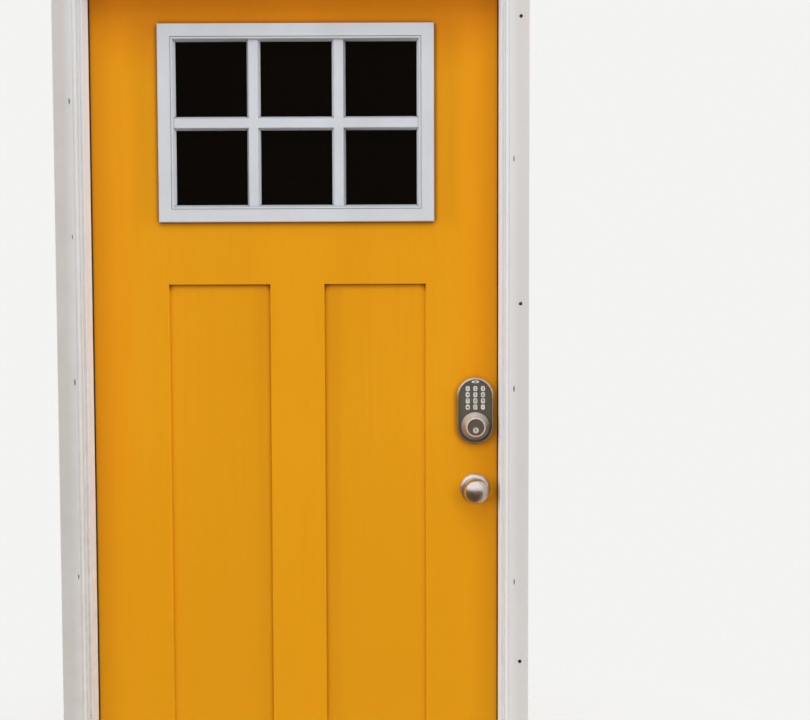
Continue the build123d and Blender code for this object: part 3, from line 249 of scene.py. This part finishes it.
def setLights():
    for name, (place, aim, width, height, watts, colour) in studio["lamps"].items():
        lamp = bpy.data.lights.new("lamp_" + name, "AREA")
        lamp.shape = "RECTANGLE"
        lamp.size = width
        lamp.size_y = height
        lamp.energy = watts
        lamp.color = colour
        stand = addToScene("lamp_" + name, lamp)
        stand.visible_camera = False
        stand.visible_glossy = False    # the metal mirrors the sky and the ground alone
        look = (Vector(aim) - Vector(place)).to_track_quat("-Z", "Y").to_matrix().to_4x4()
        stand.matrix_world = Matrix.Translation(place) @ look


paper = {
    "colour": (0.66, 0.65, 0.63),
    "patchColours": ((0.64, 0.63, 0.61), (0.68, 0.67, 0.65)),
    "patches": (0.6, 2.0),
    "roughness": 0.9,
    "fade": (0.8, 1.9),    # metres from the middle, out into the background
    "corners": 96,
}


def setFloor():
    finish, tree, shader = newFinish("floor_paper", paper["colour"], paper["roughness"])
    patch = noise(tree, placed(tree), *paper["patches"])
    feed(tree, shader.inputs["Base Color"], mixed(tree, patch, *paper["patchColours"]))
    away = addNode(tree, "VectorMath", {0: placed(tree)}, operation="LENGTH")["Value"]
    clear = addNode(tree, "BsdfTransparent", {})["BSDF"]
    faded = addNode(tree, "MixShader", {"Fac": stretched(tree, away, *paper["fade"]),
                                        1: shader.outputs["BSDF"], 2: clear})["Shader"]
    feed(tree, tree.nodes["Material Output"].inputs["Surface"], faded)
    form = bmesh.new()
    bmesh.ops.create_circle(form, cap_ends=True, segments=paper["corners"], radius=paper["fade"][1])
    floor = newPiece("floor", form, finish)
    floor.visible_glossy = False    # the metal mirrors the darker ground beyond it
    print("studio set")


# Painted wood of the frame. A noise has its scale, detail, roughness and distortion here, and streaks
# have their scales across and along first. Four numbers are a measure's range and what it comes to.
# plainRoughness is the shader's own value, under the noise that varies it.

trim = {
    "paint": (0.612, 0.590, 0.575),
    "paintDarker": (0.458, 0.438, 0.424),
    "paintRevealLit": (0.735, 0.780, 0.825),
    "dirtAndShade": (0.430, 0.385, 0.340),
    "splash": (0.440, 0.405, 0.365),
    "hole": (0.010, 0.008, 0.007),
    "slitShade": (0.030, 0.026, 0.022),
    "plainRoughness": 0.45,
    "roughness": (0.36, 0.52),
    "strokes": (260.0, 7.0, 4.0, 0.6, 0.2),
    "strokeDepth": 0.00010,
    "edge": 0.0011,
    "patches": (7.0, 4.0, 0.6),
    "patchDarker": (0.30, 0.70, 0.65, 1.0),
    "acrossDarker": (0.5, -0.5, 0.35, 1.0),      # darker towards the left
    "grime": (34.0, 5.0, 0.65),
    "corner": (0.006, 0.20, 0.70),
    "cornerGrime": (0.25, 0.7, 0.1, 0.55),
    "acrossRevealLit": (0.480, 0.447),             # painted light: lighter, cooler paint in the reveal next to the slab, for the light there and against the slab's orange bounce
    "depthRevealLit": (-0.070, 0.020, 0.55, 1.0),
    "upSplash": (1.90, 0.55, 0.0, 0.62),       # splashed dirt low down
    "grimeSplash": (0.30, 0.70, 0.2, 1.0),
    "acrossSplash": (-0.4, 0.4, 1.0, 0.28),
    "front": -0.060,                           # the nailed face lies before this Y
    "grit": (420.0, 3.0, 0.6),
    "gritRagged": (0.3, 0.7, -0.18, 0.18),
    "markEdge": (1.08, 0.82),
}


nailMarks = (    # across, up, half width, half height, colour
    (0.4833, 1.9510, 0.0040, 0.0040, "hole"),
    (0.4833, 1.3470, 0.0040, 0.0040, "hole"),
    (0.4833, 0.5750, 0.0040, 0.0040, "hole"),
    (0.4688, 1.6535, 0.0012, 0.0066, "slitShade"),
    (0.4697, 1.1657, 0.0014, 0.0072, "slitShade"),
    (0.4708, 0.7490, 0.0012, 0.0066, "slitShade"),
    (-0.4672, 1.7780, 0.0013, 0.0068, "slitShade"),
    (-0.4651, 1.4920, 0.0010, 0.0056, "slitShade"),
    (-0.4650, 1.1827, 0.0014, 0.0072, "slitShade"),
    (-0.4637, 0.7640, 0.0012, 0.0060, "slitShade"),
)


def marked(tree, paint, front):    # painted shade: dark rims round the nail holes, and near-black slots that the nails tore, which have no shape here
    grit = noise(tree, placed(tree), *trim["grit"])
    for across, up, halfWidth, halfHeight, colour in nailMarks:
        away = outwards(tree, (across, up), (1 / halfWidth, 1 / halfHeight))
        ragged = combined(tree, "ADD", away, stretched(tree, grit, *trim["gritRagged"]))
        dark = times(tree, stretched(tree, ragged, *trim["markEdge"]), front)
        paint = mixed(tree, dark, paint, trim[colour])
    return paint


def trimPaint(name, along):
    finish, tree, shader = newFinish(name, trim["paint"], trim["plainRoughness"])
    where = axes(tree)
    patches = noise(tree, placed(tree), *trim["patches"])
    grime = noise(tree, placed(tree), *trim["grime"])
    # darker paint in random patches, more towards the left
    darkPatches = times(tree, stretched(tree, patches, *trim["patchDarker"]),
                    stretched(tree, where["X"], *trim["acrossDarker"]))
    paint = mixed(tree, darkPatches, trim["paint"], trim["paintDarker"])
    # painted light: in the reveal next to the slab the paint turns lighter and cooler, for the light there
    # and against the slab's orange bounce
    if along == "Z":
        across = combined(tree, "ABSOLUTE", where["X"])
        shade = times(tree, stretched(tree, across, *trim["acrossRevealLit"]),
                      stretched(tree, where["Y"], *trim["depthRevealLit"]))
        paint = mixed(tree, shade, paint, trim["paintRevealLit"])
    # partly grime, partly painted shade: ambient occlusion, varied by a grime noise, darkens the paint in
    # corners
    corner = times(tree, crevices(tree, *trim["corner"]), stretched(tree, grime, *trim["cornerGrime"]))
    paint = mixed(tree, corner, paint, trim["dirtAndShade"])
    low = times(tree, stretched(tree, where["Z"], *trim["upSplash"]),
                stretched(tree, grime, *trim["grimeSplash"]))
    low = times(tree, low, stretched(tree, where["X"], *trim["acrossSplash"]))
    paint = mixed(tree, low, paint, trim["splash"])
    if along == "Z":
        paint = marked(tree, paint, combined(tree, "LESS_THAN", where["Y"], trim["front"]))
    feed(tree, shader.inputs["Base Color"], paint)
    roughen(tree, shader, patches, *trim["roughness"])
    raised(tree, shader, streaks(tree, along, *trim["strokes"]), trim["strokeDepth"], trim["edge"])
    return finish


putty = {
    "spots": ((-0.48335, 1.7782), (-0.48335, 1.1741), (-0.48335, 0.5700)),
    "radius": 0.00178,
    "depth": 0.0040,
    "corners": 32,
}


def fillHoles():    # putty in the hinge side's nail holes, where the photo shows none
    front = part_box("brickmould_hinge_side")[0].y
    form = bmesh.new()
    for across, up in putty["spots"]:
        made = bmesh.ops.create_cone(form, cap_ends=True, segments=putty["corners"], depth=putty["depth"],
                                     radius1=putty["radius"], radius2=putty["radius"])["verts"]
        bmesh.ops.rotate(form, verts=made, cent=(0, 0, 0), matrix=turned(90, "X"))
        bmesh.ops.translate(form, verts=made, vec=(across, front + putty["depth"] / 2, up))
    filling = newPiece("hole_putty", form, bpy.data.materials["trim_paint_upright"])
    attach(filling, "frame")
    print("nail holes filled")


# The slab's paint, wood and foam

slab = {
    "paint": (0.722, 0.302, 0.0045),
    "paintFaded": (0.750, 0.324, 0.0070),
    "paintDeep": (0.680, 0.255, 0.0035),
    "paintLow": (0.655, 0.276, 0.0035),
    "paintShaded": (0.665, 0.162, 0.0025),
    "dirtAndShade": (0.200, 0.040, 0.0020),
    "plainRoughness": 0.40,
    "roughness": (0.50, 0.62),
    "specular": 0.13,
    "cloudShape": (1.0, 1.0, 0.35),
    "cloud": (3.2, 4.0, 0.55),
    "cloudFaded": (0.3, 0.7),
    "brush": (90.0, 4.0, 3.0, 0.6),
    "brushDeep": (0.45, 0.9, 0.0, 0.35),
    "peel": (420.0, 2.0, 0.5),
    "roller": (60.0, 3.0, 0.5),
    "rollerShare": 2.0,
    "peelDepth": 0.00012,
    "edge": 0.0016,
    "upPaintedShade": (1.82, 2.045),                  # painted shade: deeper, redder paint under the head and by the jambs, where they shade the slab
    "acrossPaintedShade": (0.330, 0.460, 0.0, 0.44),
    "paintedShadeShare": 0.80,
    "upLow": (1.1, 0.48),
    "acrossLow": (0.1, 0.4, 0.8, 1.0),
    "corner": (0.013, 0.42, 0.92),
    "acrossCorner": (0.43, 0.40, 0.15, 1.0),     # painted shadow, faint by the slab's edges
    "upCorner": (1.366, 1.374, 0.4, 1.0),
}


def doorPaintNodes(tree, shader):    # its colour comes back, roughness and orange peel are set
    shader.inputs["Specular IOR Level"].default_value = slab["specular"]
    cloud = noise(tree, placed(tree, slab["cloudShape"]), *slab["cloud"])
    brush = streaks(tree, "Z", *slab["brush"])
    base = mixed(tree, stretched(tree, cloud, *slab["cloudFaded"]), slab["paint"], slab["paintFaded"])
    base = mixed(tree, stretched(tree, brush, *slab["brushDeep"]), base, slab["paintDeep"])
    roughen(tree, shader, cloud, *slab["roughness"])
    peel = noise(tree, placed(tree), *slab["peel"])
    roller = times(tree, noise(tree, placed(tree), *slab["roller"]), slab["rollerShare"])
    raised(tree, shader, combined(tree, "ADD", peel, roller), slab["peelDepth"], slab["edge"])
    return base


def doorPaint():
    finish, tree, shader = newFinish("door_paint", slab["paint"], slab["plainRoughness"])
    base = doorPaintNodes(tree, shader)
    where = axes(tree)
    across = combined(tree, "ABSOLUTE", where["X"])
    # painted shade: the paint turns deeper and redder under the head and by the jambs, where they shade
    # the slab
    paintedShade = combined(tree, "MAXIMUM", stretched(tree, where["Z"], *slab["upPaintedShade"]),
                         stretched(tree, across, *slab["acrossPaintedShade"]))
    base = mixed(tree, times(tree, paintedShade, slab["paintedShadeShare"]), base, slab["paintShaded"])
    low = times(tree, stretched(tree, where["Z"], *slab["upLow"]),
                stretched(tree, where["X"], *slab["acrossLow"]))
    base = mixed(tree, low, base, slab["paintLow"])
    # painted shadow: ambient occlusion darkens the paint in the panels' recesses and round the window,
    # fullest along the panels' top edge and faint by the jambs
    corner = times(tree, crevices(tree, *slab["corner"]), stretched(tree, across, *slab["acrossCorner"]))
    corner = times(tree, corner, stretched(tree, where["Z"], *slab["upCorner"]))
    feed(tree, shader.inputs["Base Color"], mixed(tree, corner, base, slab["dirtAndShade"]))
    return finish


wood = {
    "early": (0.58, 0.40, 0.23),
    "late": (0.40, 0.23, 0.11),
    "grain": (55.0, 2.6, 5.0, 0.6, 0.9),
    "grainLate": (0.35, 0.65),
    "grainDepth": 0.00035,
    "edge": 0.0008,
    "roughness": 0.7,
    "stileRoughness": 0.6,
    "paintedFrom": 0.4537,    # the stiles' edges are painted beyond this X
    "sillTone": 0.8,
}


def woodColour(tree, grain, tone=1.0):
    return mixed(tree, stretched(tree, grain, *wood["grainLate"]),
                 toned(wood["early"], tone), toned(wood["late"], tone))


def bareWood(name, along, tone=1.0):
    finish, tree, shader = newFinish(name, wood["early"], wood["roughness"])
    grain = streaks(tree, along, *wood["grain"])
    feed(tree, shader.inputs["Base Color"], woodColour(tree, grain, tone))
    raised(tree, shader, grain, wood["grainDepth"], wood["edge"])
    return finish


def stileWood():    # bare inside the slab, painted at its edge
    finish, tree, shader = newFinish("stile_wood", wood["early"], wood["stileRoughness"])
    bare = woodColour(tree, streaks(tree, "Z", *wood["grain"]))
    paint = doorPaintNodes(tree, shader)
    across = combined(tree, "ABSOLUTE", axes(tree)["X"])
    edge = combined(tree, "GREATER_THAN", across, wood["paintedFrom"])
    feed(tree, shader.inputs["Base Color"], mixed(tree, edge, bare, paint))
    return finish


foam = {
    "colour": (0.78, 0.70, 0.46),
    "pore": (0.60, 0.50, 0.28),
    "web": (0.82, 0.75, 0.52),
    "roughness": 0.95,
    "poreScale": 420.0,
    "poreSpan": (0.0, 0.7),
    "poreDepth": 0.0006,
}


def coreFoam():
    finish, tree, shader = newFinish("core_foam", foam["colour"], foam["roughness"])
    pores = addNode(tree, "TexVoronoi", {"Scale": foam["poreScale"], "Vector": placed(tree)})["Distance"]
    feed(tree, shader.inputs["Base Color"],
         mixed(tree, stretched(tree, pores, *foam["poreSpan"]), foam["pore"], foam["web"]))
    raised(tree, shader, pores, foam["poreDepth"])
    return finish


def dressWood():
    dress(trimPaint("trim_paint_upright", "Z"),
          ("hinge_jamb", "strike_jamb", "brickmould_hinge_side", "brickmould_strike_side"))
    dress(trimPaint("trim_paint_level", "X"), ("head_jamb", "brickmould_head"))
    dress(bareWood("sill_core", "X", wood["sillTone"]), ("sill_substrate",))
    dress(bareWood("rail_wood", "X"), ("top_rail", "bottom_rail"))
    dress(stileWood(), ("hinge_stile", "lock_stile"))
    dress(doorPaint(), ("outer_skin", "inner_skin"))
    dress(coreFoam(), ("foam_core",))
    print("paint, wood and foam on")


# Metals

nickel = {
    "bright": (0.64, 0.585, 0.540),
    "dull": (0.44, 0.385, 0.340),
    "tarnishAndShade": (0.12, 0.070, 0.040),
    "under": (0.62, 0.52, 0.42),             # painted reflection: colour below a piece's middle, for the ground and door it mirrors
    "underRose": (0.46, 0.29, 0.16),
    "underLock": (0.22, 0.125, 0.065),
    "underSpan": (0.006, -0.020),
    "underShare": 0.72,
    "plainRoughness": 0.3,
    "roughness": (0.27, 0.40),
    "brush": (900.0, 60.0, 3.0, 0.6),
    "brushDepth": 0.00003,
    "edge": 0.0005,
    "smudge": (60.0, 4.0, 0.6),
    "smudgeDull": (0.3, 0.75),
    "corner": (0.007, 0.15, 0.65),
    "knobMiddle": 0.933,
    "cylinder": (0.3937, 1.0727),            # a bright lip round the pitted face that the plug sits in
    "lipEdge": (0.0216, 0.0204),
    "face": (0.250, 0.200, 0.160),
    "facePits": (0.085, 0.064, 0.048),
    "faceEdge": (0.0186, 0.0182),
    "pits": (900.0, 3.0, 0.7),
    "pitSpan": (0.3, 0.7),
}


castings = {    # finish of: nodes, and how it differs; tone makes each part's copy of the one satin nickel lighter or darker, painted light for how that part is lit
    "knob": (("outer_knob", "inner_knob"), dict(tone=1.15, middle=nickel["knobMiddle"])),
    "turn": (("spindle", "thumb_turn"), dict(tone=0.85)),
    "rose": (("outer_rose", "inner_rose"),
             dict(tone=1.38, rougher=0.02, middle=nickel["knobMiddle"], under=nickel["underRose"])),
    "housing": (("keypad_housing",),
                dict(tone=1.20, metallic=0.75, middle=1.150, under=nickel["underLock"], edge=0.0016)),
    "collar": (("cylinder_collar",),
               dict(tone=1.25, rougher=0.08, metallic=0.55, middle=1.091, under=nickel["underLock"])),
    "plug": (("cylinder_plug",), dict(tone=1.20, rougher=0.10, metallic=0.35)),
}


def satinNickel(part, tone, rougher=0.0, metallic=1.0, middle=None, under=nickel["under"],
                edge=nickel["edge"]):
    finish, tree, shader = newFinish("satin_nickel_" + part, nickel["bright"], nickel["plainRoughness"],
                                     metallic)
    smudge = noise(tree, placed(tree), *nickel["smudge"])
    bright = toned(nickel["bright"], tone)
    metal = mixed(tree, stretched(tree, smudge, *nickel["smudgeDull"]), bright,
                  toned(nickel["dull"], tone))
    # painted reflection: below the middle the colour turns towards the ground and door that the piece
    # would mirror
    if middle is not None:
        start, end = nickel["underSpan"]
        below = stretched(tree, axes(tree)["Z"], middle + start, middle + end, 0.0, nickel["underShare"])
        metal = mixed(tree, below, metal, under)
    if part == "collar":
        away = outwards(tree, nickel["cylinder"])
        metal = mixed(tree, stretched(tree, away, *nickel["lipEdge"]), metal, bright)
        pits = stretched(tree, noise(tree, placed(tree), *nickel["pits"]), *nickel["pitSpan"])
        face = mixed(tree, pits, nickel["face"], nickel["facePits"])
        metal = mixed(tree, stretched(tree, away, *nickel["faceEdge"]), metal, face)
    # partly tarnish, partly painted shade: ambient occlusion darkens the metal in its hollows
    corner = crevices(tree, *nickel["corner"])
    feed(tree, shader.inputs["Base Color"], mixed(tree, corner, metal, nickel["tarnishAndShade"]))
    roughen(tree, shader, smudge, *[value + rougher for value in nickel["roughness"]])
    raised(tree, shader, streaks(tree, "Y", *nickel["brush"]), nickel["brushDepth"], edge)
    return finish


plainMetals = {
    "metallic": 0.65,
    "shade": 0.82,
    "brush": (700.0, 30.0, 4.0, 0.6),
    "stain": (22.0, 4.0, 0.6),
    "stainShade": (0.35, 0.8),
    "roughnessSpread": (-0.06, 0.12),
    "finishes": {
        "sill_metal": (("sill_deck",), dict(colour=(0.58, 0.57, 0.55), roughness=0.38, along="X")),
        "hinge_metal": (("frame_hinge_leaves", "door_hinge_leaves", "hinge_pins"),
                        dict(colour=(0.60, 0.56, 0.50), roughness=0.30, along="Z")),
        "screw_metal": (("frame_screws", "door_screws", "lite_screws", "lock_screws"),
                        dict(colour=(0.55, 0.52, 0.47), roughness=0.34, along="Y",
                             depth=0.00001, edge=0.0002)),
        "plate_metal": (("strike_plates", "latch_case", "deadbolt_case", "latch_bolt", "deadbolt"),
                        dict(colour=(0.58, 0.54, 0.48), roughness=0.32, along="Z")),
        "spacer_metal": (("glass_spacer",), dict(colour=(0.16, 0.16, 0.16), roughness=0.4, along="X")),
    },
}


def plainMetal(name, colour, roughness, along, depth=0.00003, edge=0.0004):
    finish, tree, shader = newFinish(name, colour, roughness, plainMetals["metallic"])
    stain = noise(tree, placed(tree), *plainMetals["stain"])
    feed(tree, shader.inputs["Base Color"], mixed(tree, stretched(tree, stain, *plainMetals["stainShade"]),
                                                  colour, toned(colour, plainMetals["shade"])))
    roughen(tree, shader, stain, *[roughness + spread for spread in plainMetals["roughnessSpread"]])
    raised(tree, shader, streaks(tree, along, *plainMetals["brush"]), depth, edge)
    return finish


def dressMetals():
    for part, (names, differences) in castings.items():
        dress(satinNickel(part, **differences), names)
    for name, (names, settings) in plainMetals["finishes"].items():
        dress(plainMetal(name, **settings), names)
    print("metals on")


# Plastics, rubber and glass

keys = sorted(name for name in nodes if name.startswith("key_"))

plastics = {
    "shade": 0.9,
    "cloud": (9.0, 3.0, 0.5),
    "cloudShade": (0.3, 0.75),
    "roughnessSpread": (-0.05, 0.08),
    "texture": (2.0, 0.5),
    "corner": (0.006, 0.3, 0.9),
    "finishes": {
        "cap_plastic": (("sill_cap",),
                        dict(colour=(0.28, 0.19, 0.12), roughness=0.5, dirtAndShade=(0.10, 0.07, 0.05))),
        # the dark brown strip is painted near black, partly painted shade of the gap between stop and slab
        "strip_foam": (("weatherstrips",),
                       dict(colour=(0.010, 0.0055, 0.0035), roughness=0.85, grainScale=260.0,
                            grain=0.0002)),
        "sweep_vinyl": (("door_sweep",),
                        dict(colour=(0.020, 0.016, 0.014), roughness=0.55, grainScale=500.0,
                             grain=0.0001)),
        "lite_plastic": (("outer_lite_frame", "inner_lite_frame"),
                         dict(colour=(0.604, 0.633, 0.683), roughness=0.42, grainScale=500.0,
                              grain=0.00005, edge=0.0007, dirtAndShade=(0.26, 0.25, 0.24))),
        "keypad_plastic": (("keypad_face",),
                           dict(colour=(0.095, 0.083, 0.063), roughness=0.46, grainScale=700.0,
                                grain=0.00014, edge=0.0004, dirtAndShade=(0.02, 0.017, 0.015))),
        "key_plastic": (keys,
                        dict(colour=(0.66, 0.645, 0.610), roughness=0.35, grainScale=800.0,
                             grain=0.00003, edge=0.0006, dirtAndShade=(0.05, 0.045, 0.04))),
        "inside_plastic": (("inner_lock_housing", "battery_cover"),
                           dict(colour=(0.42, 0.385, 0.345), roughness=0.40, grainScale=700.0,
                                grain=0.00005, edge=0.0008, dirtAndShade=(0.12, 0.10, 0.085))),
    },
}


def moulded(name, colour, roughness, grainScale=900.0, grain=0.00004, edge=0.0005, dirtAndShade=None):
    finish, tree, shader = newFinish(name, colour, roughness)
    cloud = noise(tree, placed(tree), *plastics["cloud"])
    base = mixed(tree, stretched(tree, cloud, *plastics["cloudShade"]), colour,
                 toned(colour, plastics["shade"]))
    # painted shade: ambient occlusion darkens the plastic towards the given colour in its corners
    if dirtAndShade is not None:
        base = mixed(tree, crevices(tree, *plastics["corner"]), base, dirtAndShade)
    feed(tree, shader.inputs["Base Color"], base)
    roughen(tree, shader, cloud, *[roughness + spread for spread in plastics["roughnessSpread"]])
    raised(tree, shader, noise(tree, placed(tree), grainScale, *plastics["texture"]), grain, edge)
    return finish


glass = {
    "tint": (0.006, 0.007, 0.007),
    "plainRoughness": 0.015,
    "roughness": (0.01, 0.035),
    "clear": 0.9,
    "ior": 1.38,
    "film": (5.0, 3.0, 0.5),
    "wave": (3.5, 1.0, 0.4),
    "waveDepth": 0.0004,
}


def darkGlass():
    finish, tree, shader = newFinish("clear_glass", glass["tint"], glass["plainRoughness"])
    shader.inputs["Transmission Weight"].default_value = glass["clear"]
    shader.inputs["IOR"].default_value = glass["ior"]
    roughen(tree, shader, noise(tree, placed(tree), *glass["film"]), *glass["roughness"])
    raised(tree, shader, noise(tree, placed(tree), *glass["wave"]), glass["waveDepth"])
    return finish


cells = {
    "colour": (0.03, 0.03, 0.032),
    "wrap": (0.028, 0.028, 0.03),
    "band": (0.62, 0.30, 0.11),
    "bandFrom": 1.146,
    "plainRoughness": 0.35,
    "roughness": (0.28, 0.40),
    "cloud": (40.0, 2.0, 0.5),
}


def cellWrap():
    finish, tree, shader = newFinish("cell_wrap", cells["colour"], cells["plainRoughness"])
    band = combined(tree, "GREATER_THAN", axes(tree)["Z"], cells["bandFrom"])
    feed(tree, shader.inputs["Base Color"], mixed(tree, band, cells["wrap"], cells["band"]))
    roughen(tree, shader, noise(tree, placed(tree), *cells["cloud"]), *cells["roughness"])
    return finish


def dressPlastics():
    for name, (names, settings) in plastics["finishes"].items():
        dress(moulded(name, **settings), names)
    dress(darkGlass(), ("outer_glass", "inner_glass"))
    dress(cellWrap(), ("batteries",))
    print("plastics, rubber and glass on")


# Digits and signs on the keys

digits = {
    "height": 0.0066,
    "heightShare": 0.70,     # of the font's size
    "depth": 0.00012,
    "sunk": 0.2,             # of the depth
    "swell": 0.00004,
    "weld": 1e-6,
    "ink": (0.035, 0.030, 0.028),
    "inkWorn": (0.06, 0.052, 0.048),
    "roughness": 0.5,
    "speck": (1500.0, 2.0, 0.5),
}


def inkFinish():
    finish, tree, shader = newFinish("key_ink", digits["ink"], digits["roughness"])
    speck = noise(tree, placed(tree), *digits["speck"])
    feed(tree, shader.inputs["Base Color"], mixed(tree, speck, digits["ink"], digits["inkWorn"]))
    return finish


def digitForm(character):
    text = bpy.data.curves.new("digit", "FONT")
    text.body = character
    text.size = digits["height"] / digits["heightShare"]
    text.align_x = "CENTER"
    text.align_y = "CENTER"
    text.offset = digits["swell"]
    text.extrude = digits["depth"]
    writer = addToScene("digit", text)
    bpy.context.view_layer.update()
    mesh = bpy.data.meshes.new_from_object(
        writer.evaluated_get(bpy.context.evaluated_depsgraph_get()))
    form = bmesh.new()
    form.from_mesh(mesh)
    bpy.data.objects.remove(writer)
    bpy.data.meshes.remove(mesh)
    bmesh.ops.remove_doubles(form, verts=form.verts, dist=digits["weld"])
    return form


signBars = {    # middle, size and turn of each bar
    "lock": (    # a padlock
        ((0.0, -0.0012), (0.0040, 0.0030), 0.0),
        ((-0.00125, 0.0010), (0.0007, 0.0016), 0.0),
        ((0.00125, 0.0010), (0.0007, 0.0016), 0.0),
        ((0.0, 0.0019), (0.0022, 0.0007), 0.0),
    ),
    "enter": (    # a tick
        ((-0.0013, -0.0008), (0.0026, 0.0008), -45.0),
        ((0.0008, 0.0001), (0.0045, 0.0008), 52.0),
    ),
}


def barForm(key):
    form = bmesh.new()
    for middle, size, turn in signBars[key]:
        made = bmesh.ops.create_cube(form, size=1.0)["verts"]
        bmesh.ops.scale(form, verts=made, vec=(*size, 2 * digits["depth"]))
        bmesh.ops.rotate(form, verts=made, cent=(0, 0, 0), matrix=turned(turn, "Z"))
        bmesh.ops.translate(form, verts=made, vec=(*middle, 0.0))
    return form


def onKey(form, name):    # stands a flat form, drawn about the origin, on the key's face
    low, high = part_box(name)
    middle = (low + high) / 2
    bmesh.ops.rotate(form, verts=form.verts, cent=(0, 0, 0), matrix=turned(90, "X"))
    bmesh.ops.translate(form, verts=form.verts,
                        vec=(middle.x, low.y + digits["sunk"] * digits["depth"], middle.z))


def markKeys():
    ink = inkFinish()
    for name in keys:
        key = name[len("key_"):]
        form = barForm(key) if key in signBars else digitForm(key)
        onKey(form, name)
        sign = newPiece("sign_" + key, form, ink)
        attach(sign, nodes[name]["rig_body"])
    print("keys marked")


# The window over the keys, through which the pad senses a hand

lens = {
    "middle": (0.3937, 1.1707),
    "size": (0.0171, 0.0062),
    "bulge": 0.0011,
    "seat": 0.0002,
    "cut": 0.3,                   # of the bulge, behind the face
    "rings": (48, 24),
    "milk": (0.62, 0.66, 0.64),
    "dark": (0.060, 0.066, 0.068),
    "darkShape": (1.0, 2.2),
    "darkSpan": (0.0026, 0.0042),
    "roughness": 0.08,
    "coat": 0.5,
}


def senseWindow():
    finish, tree, shader = newFinish("sense_window", lens["milk"], lens["roughness"])
    shader.inputs["Coat Weight"].default_value = lens["coat"]
    away = outwards(tree, lens["middle"], lens["darkShape"])
    feed(tree, shader.inputs["Base Color"],
         mixed(tree, stretched(tree, away, *lens["darkSpan"]), lens["dark"], lens["milk"]))
    form = bmesh.new()
    bmesh.ops.create_uvsphere(form, u_segments=lens["rings"][0], v_segments=lens["rings"][1], radius=0.5)
    bmesh.ops.scale(form, verts=form.verts, vec=(lens["size"][0], 2 * lens["bulge"], lens["size"][1]))
    behind = [vertex for vertex in form.verts if vertex.co.y > lens["cut"] * lens["bulge"]]
    bmesh.ops.delete(form, geom=behind, context="VERTS")
    rim = [edge for edge in form.edges if edge.is_boundary]
    bmesh.ops.holes_fill(form, edges=rim, sides=0)
    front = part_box("keypad_face")[0].y
    bmesh.ops.translate(form, verts=form.verts,
                        vec=(lens["middle"][0], front + lens["seat"], lens["middle"][1]))
    window = newPiece("sense_window", form, finish)
    for face in window.data.polygons:
        face.use_smooth = len(face.vertices) < 5    # all but the flat back
    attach(window, "door")
    print("sense window seated")


setCamera()
setWorld()
setLights()
setFloor()
dressWood()
fillHoles()
dressMetals()
dressPlastics()
markKeys()
senseWindow()

bpy.context.scene.view_settings.view_transform = "Standard"
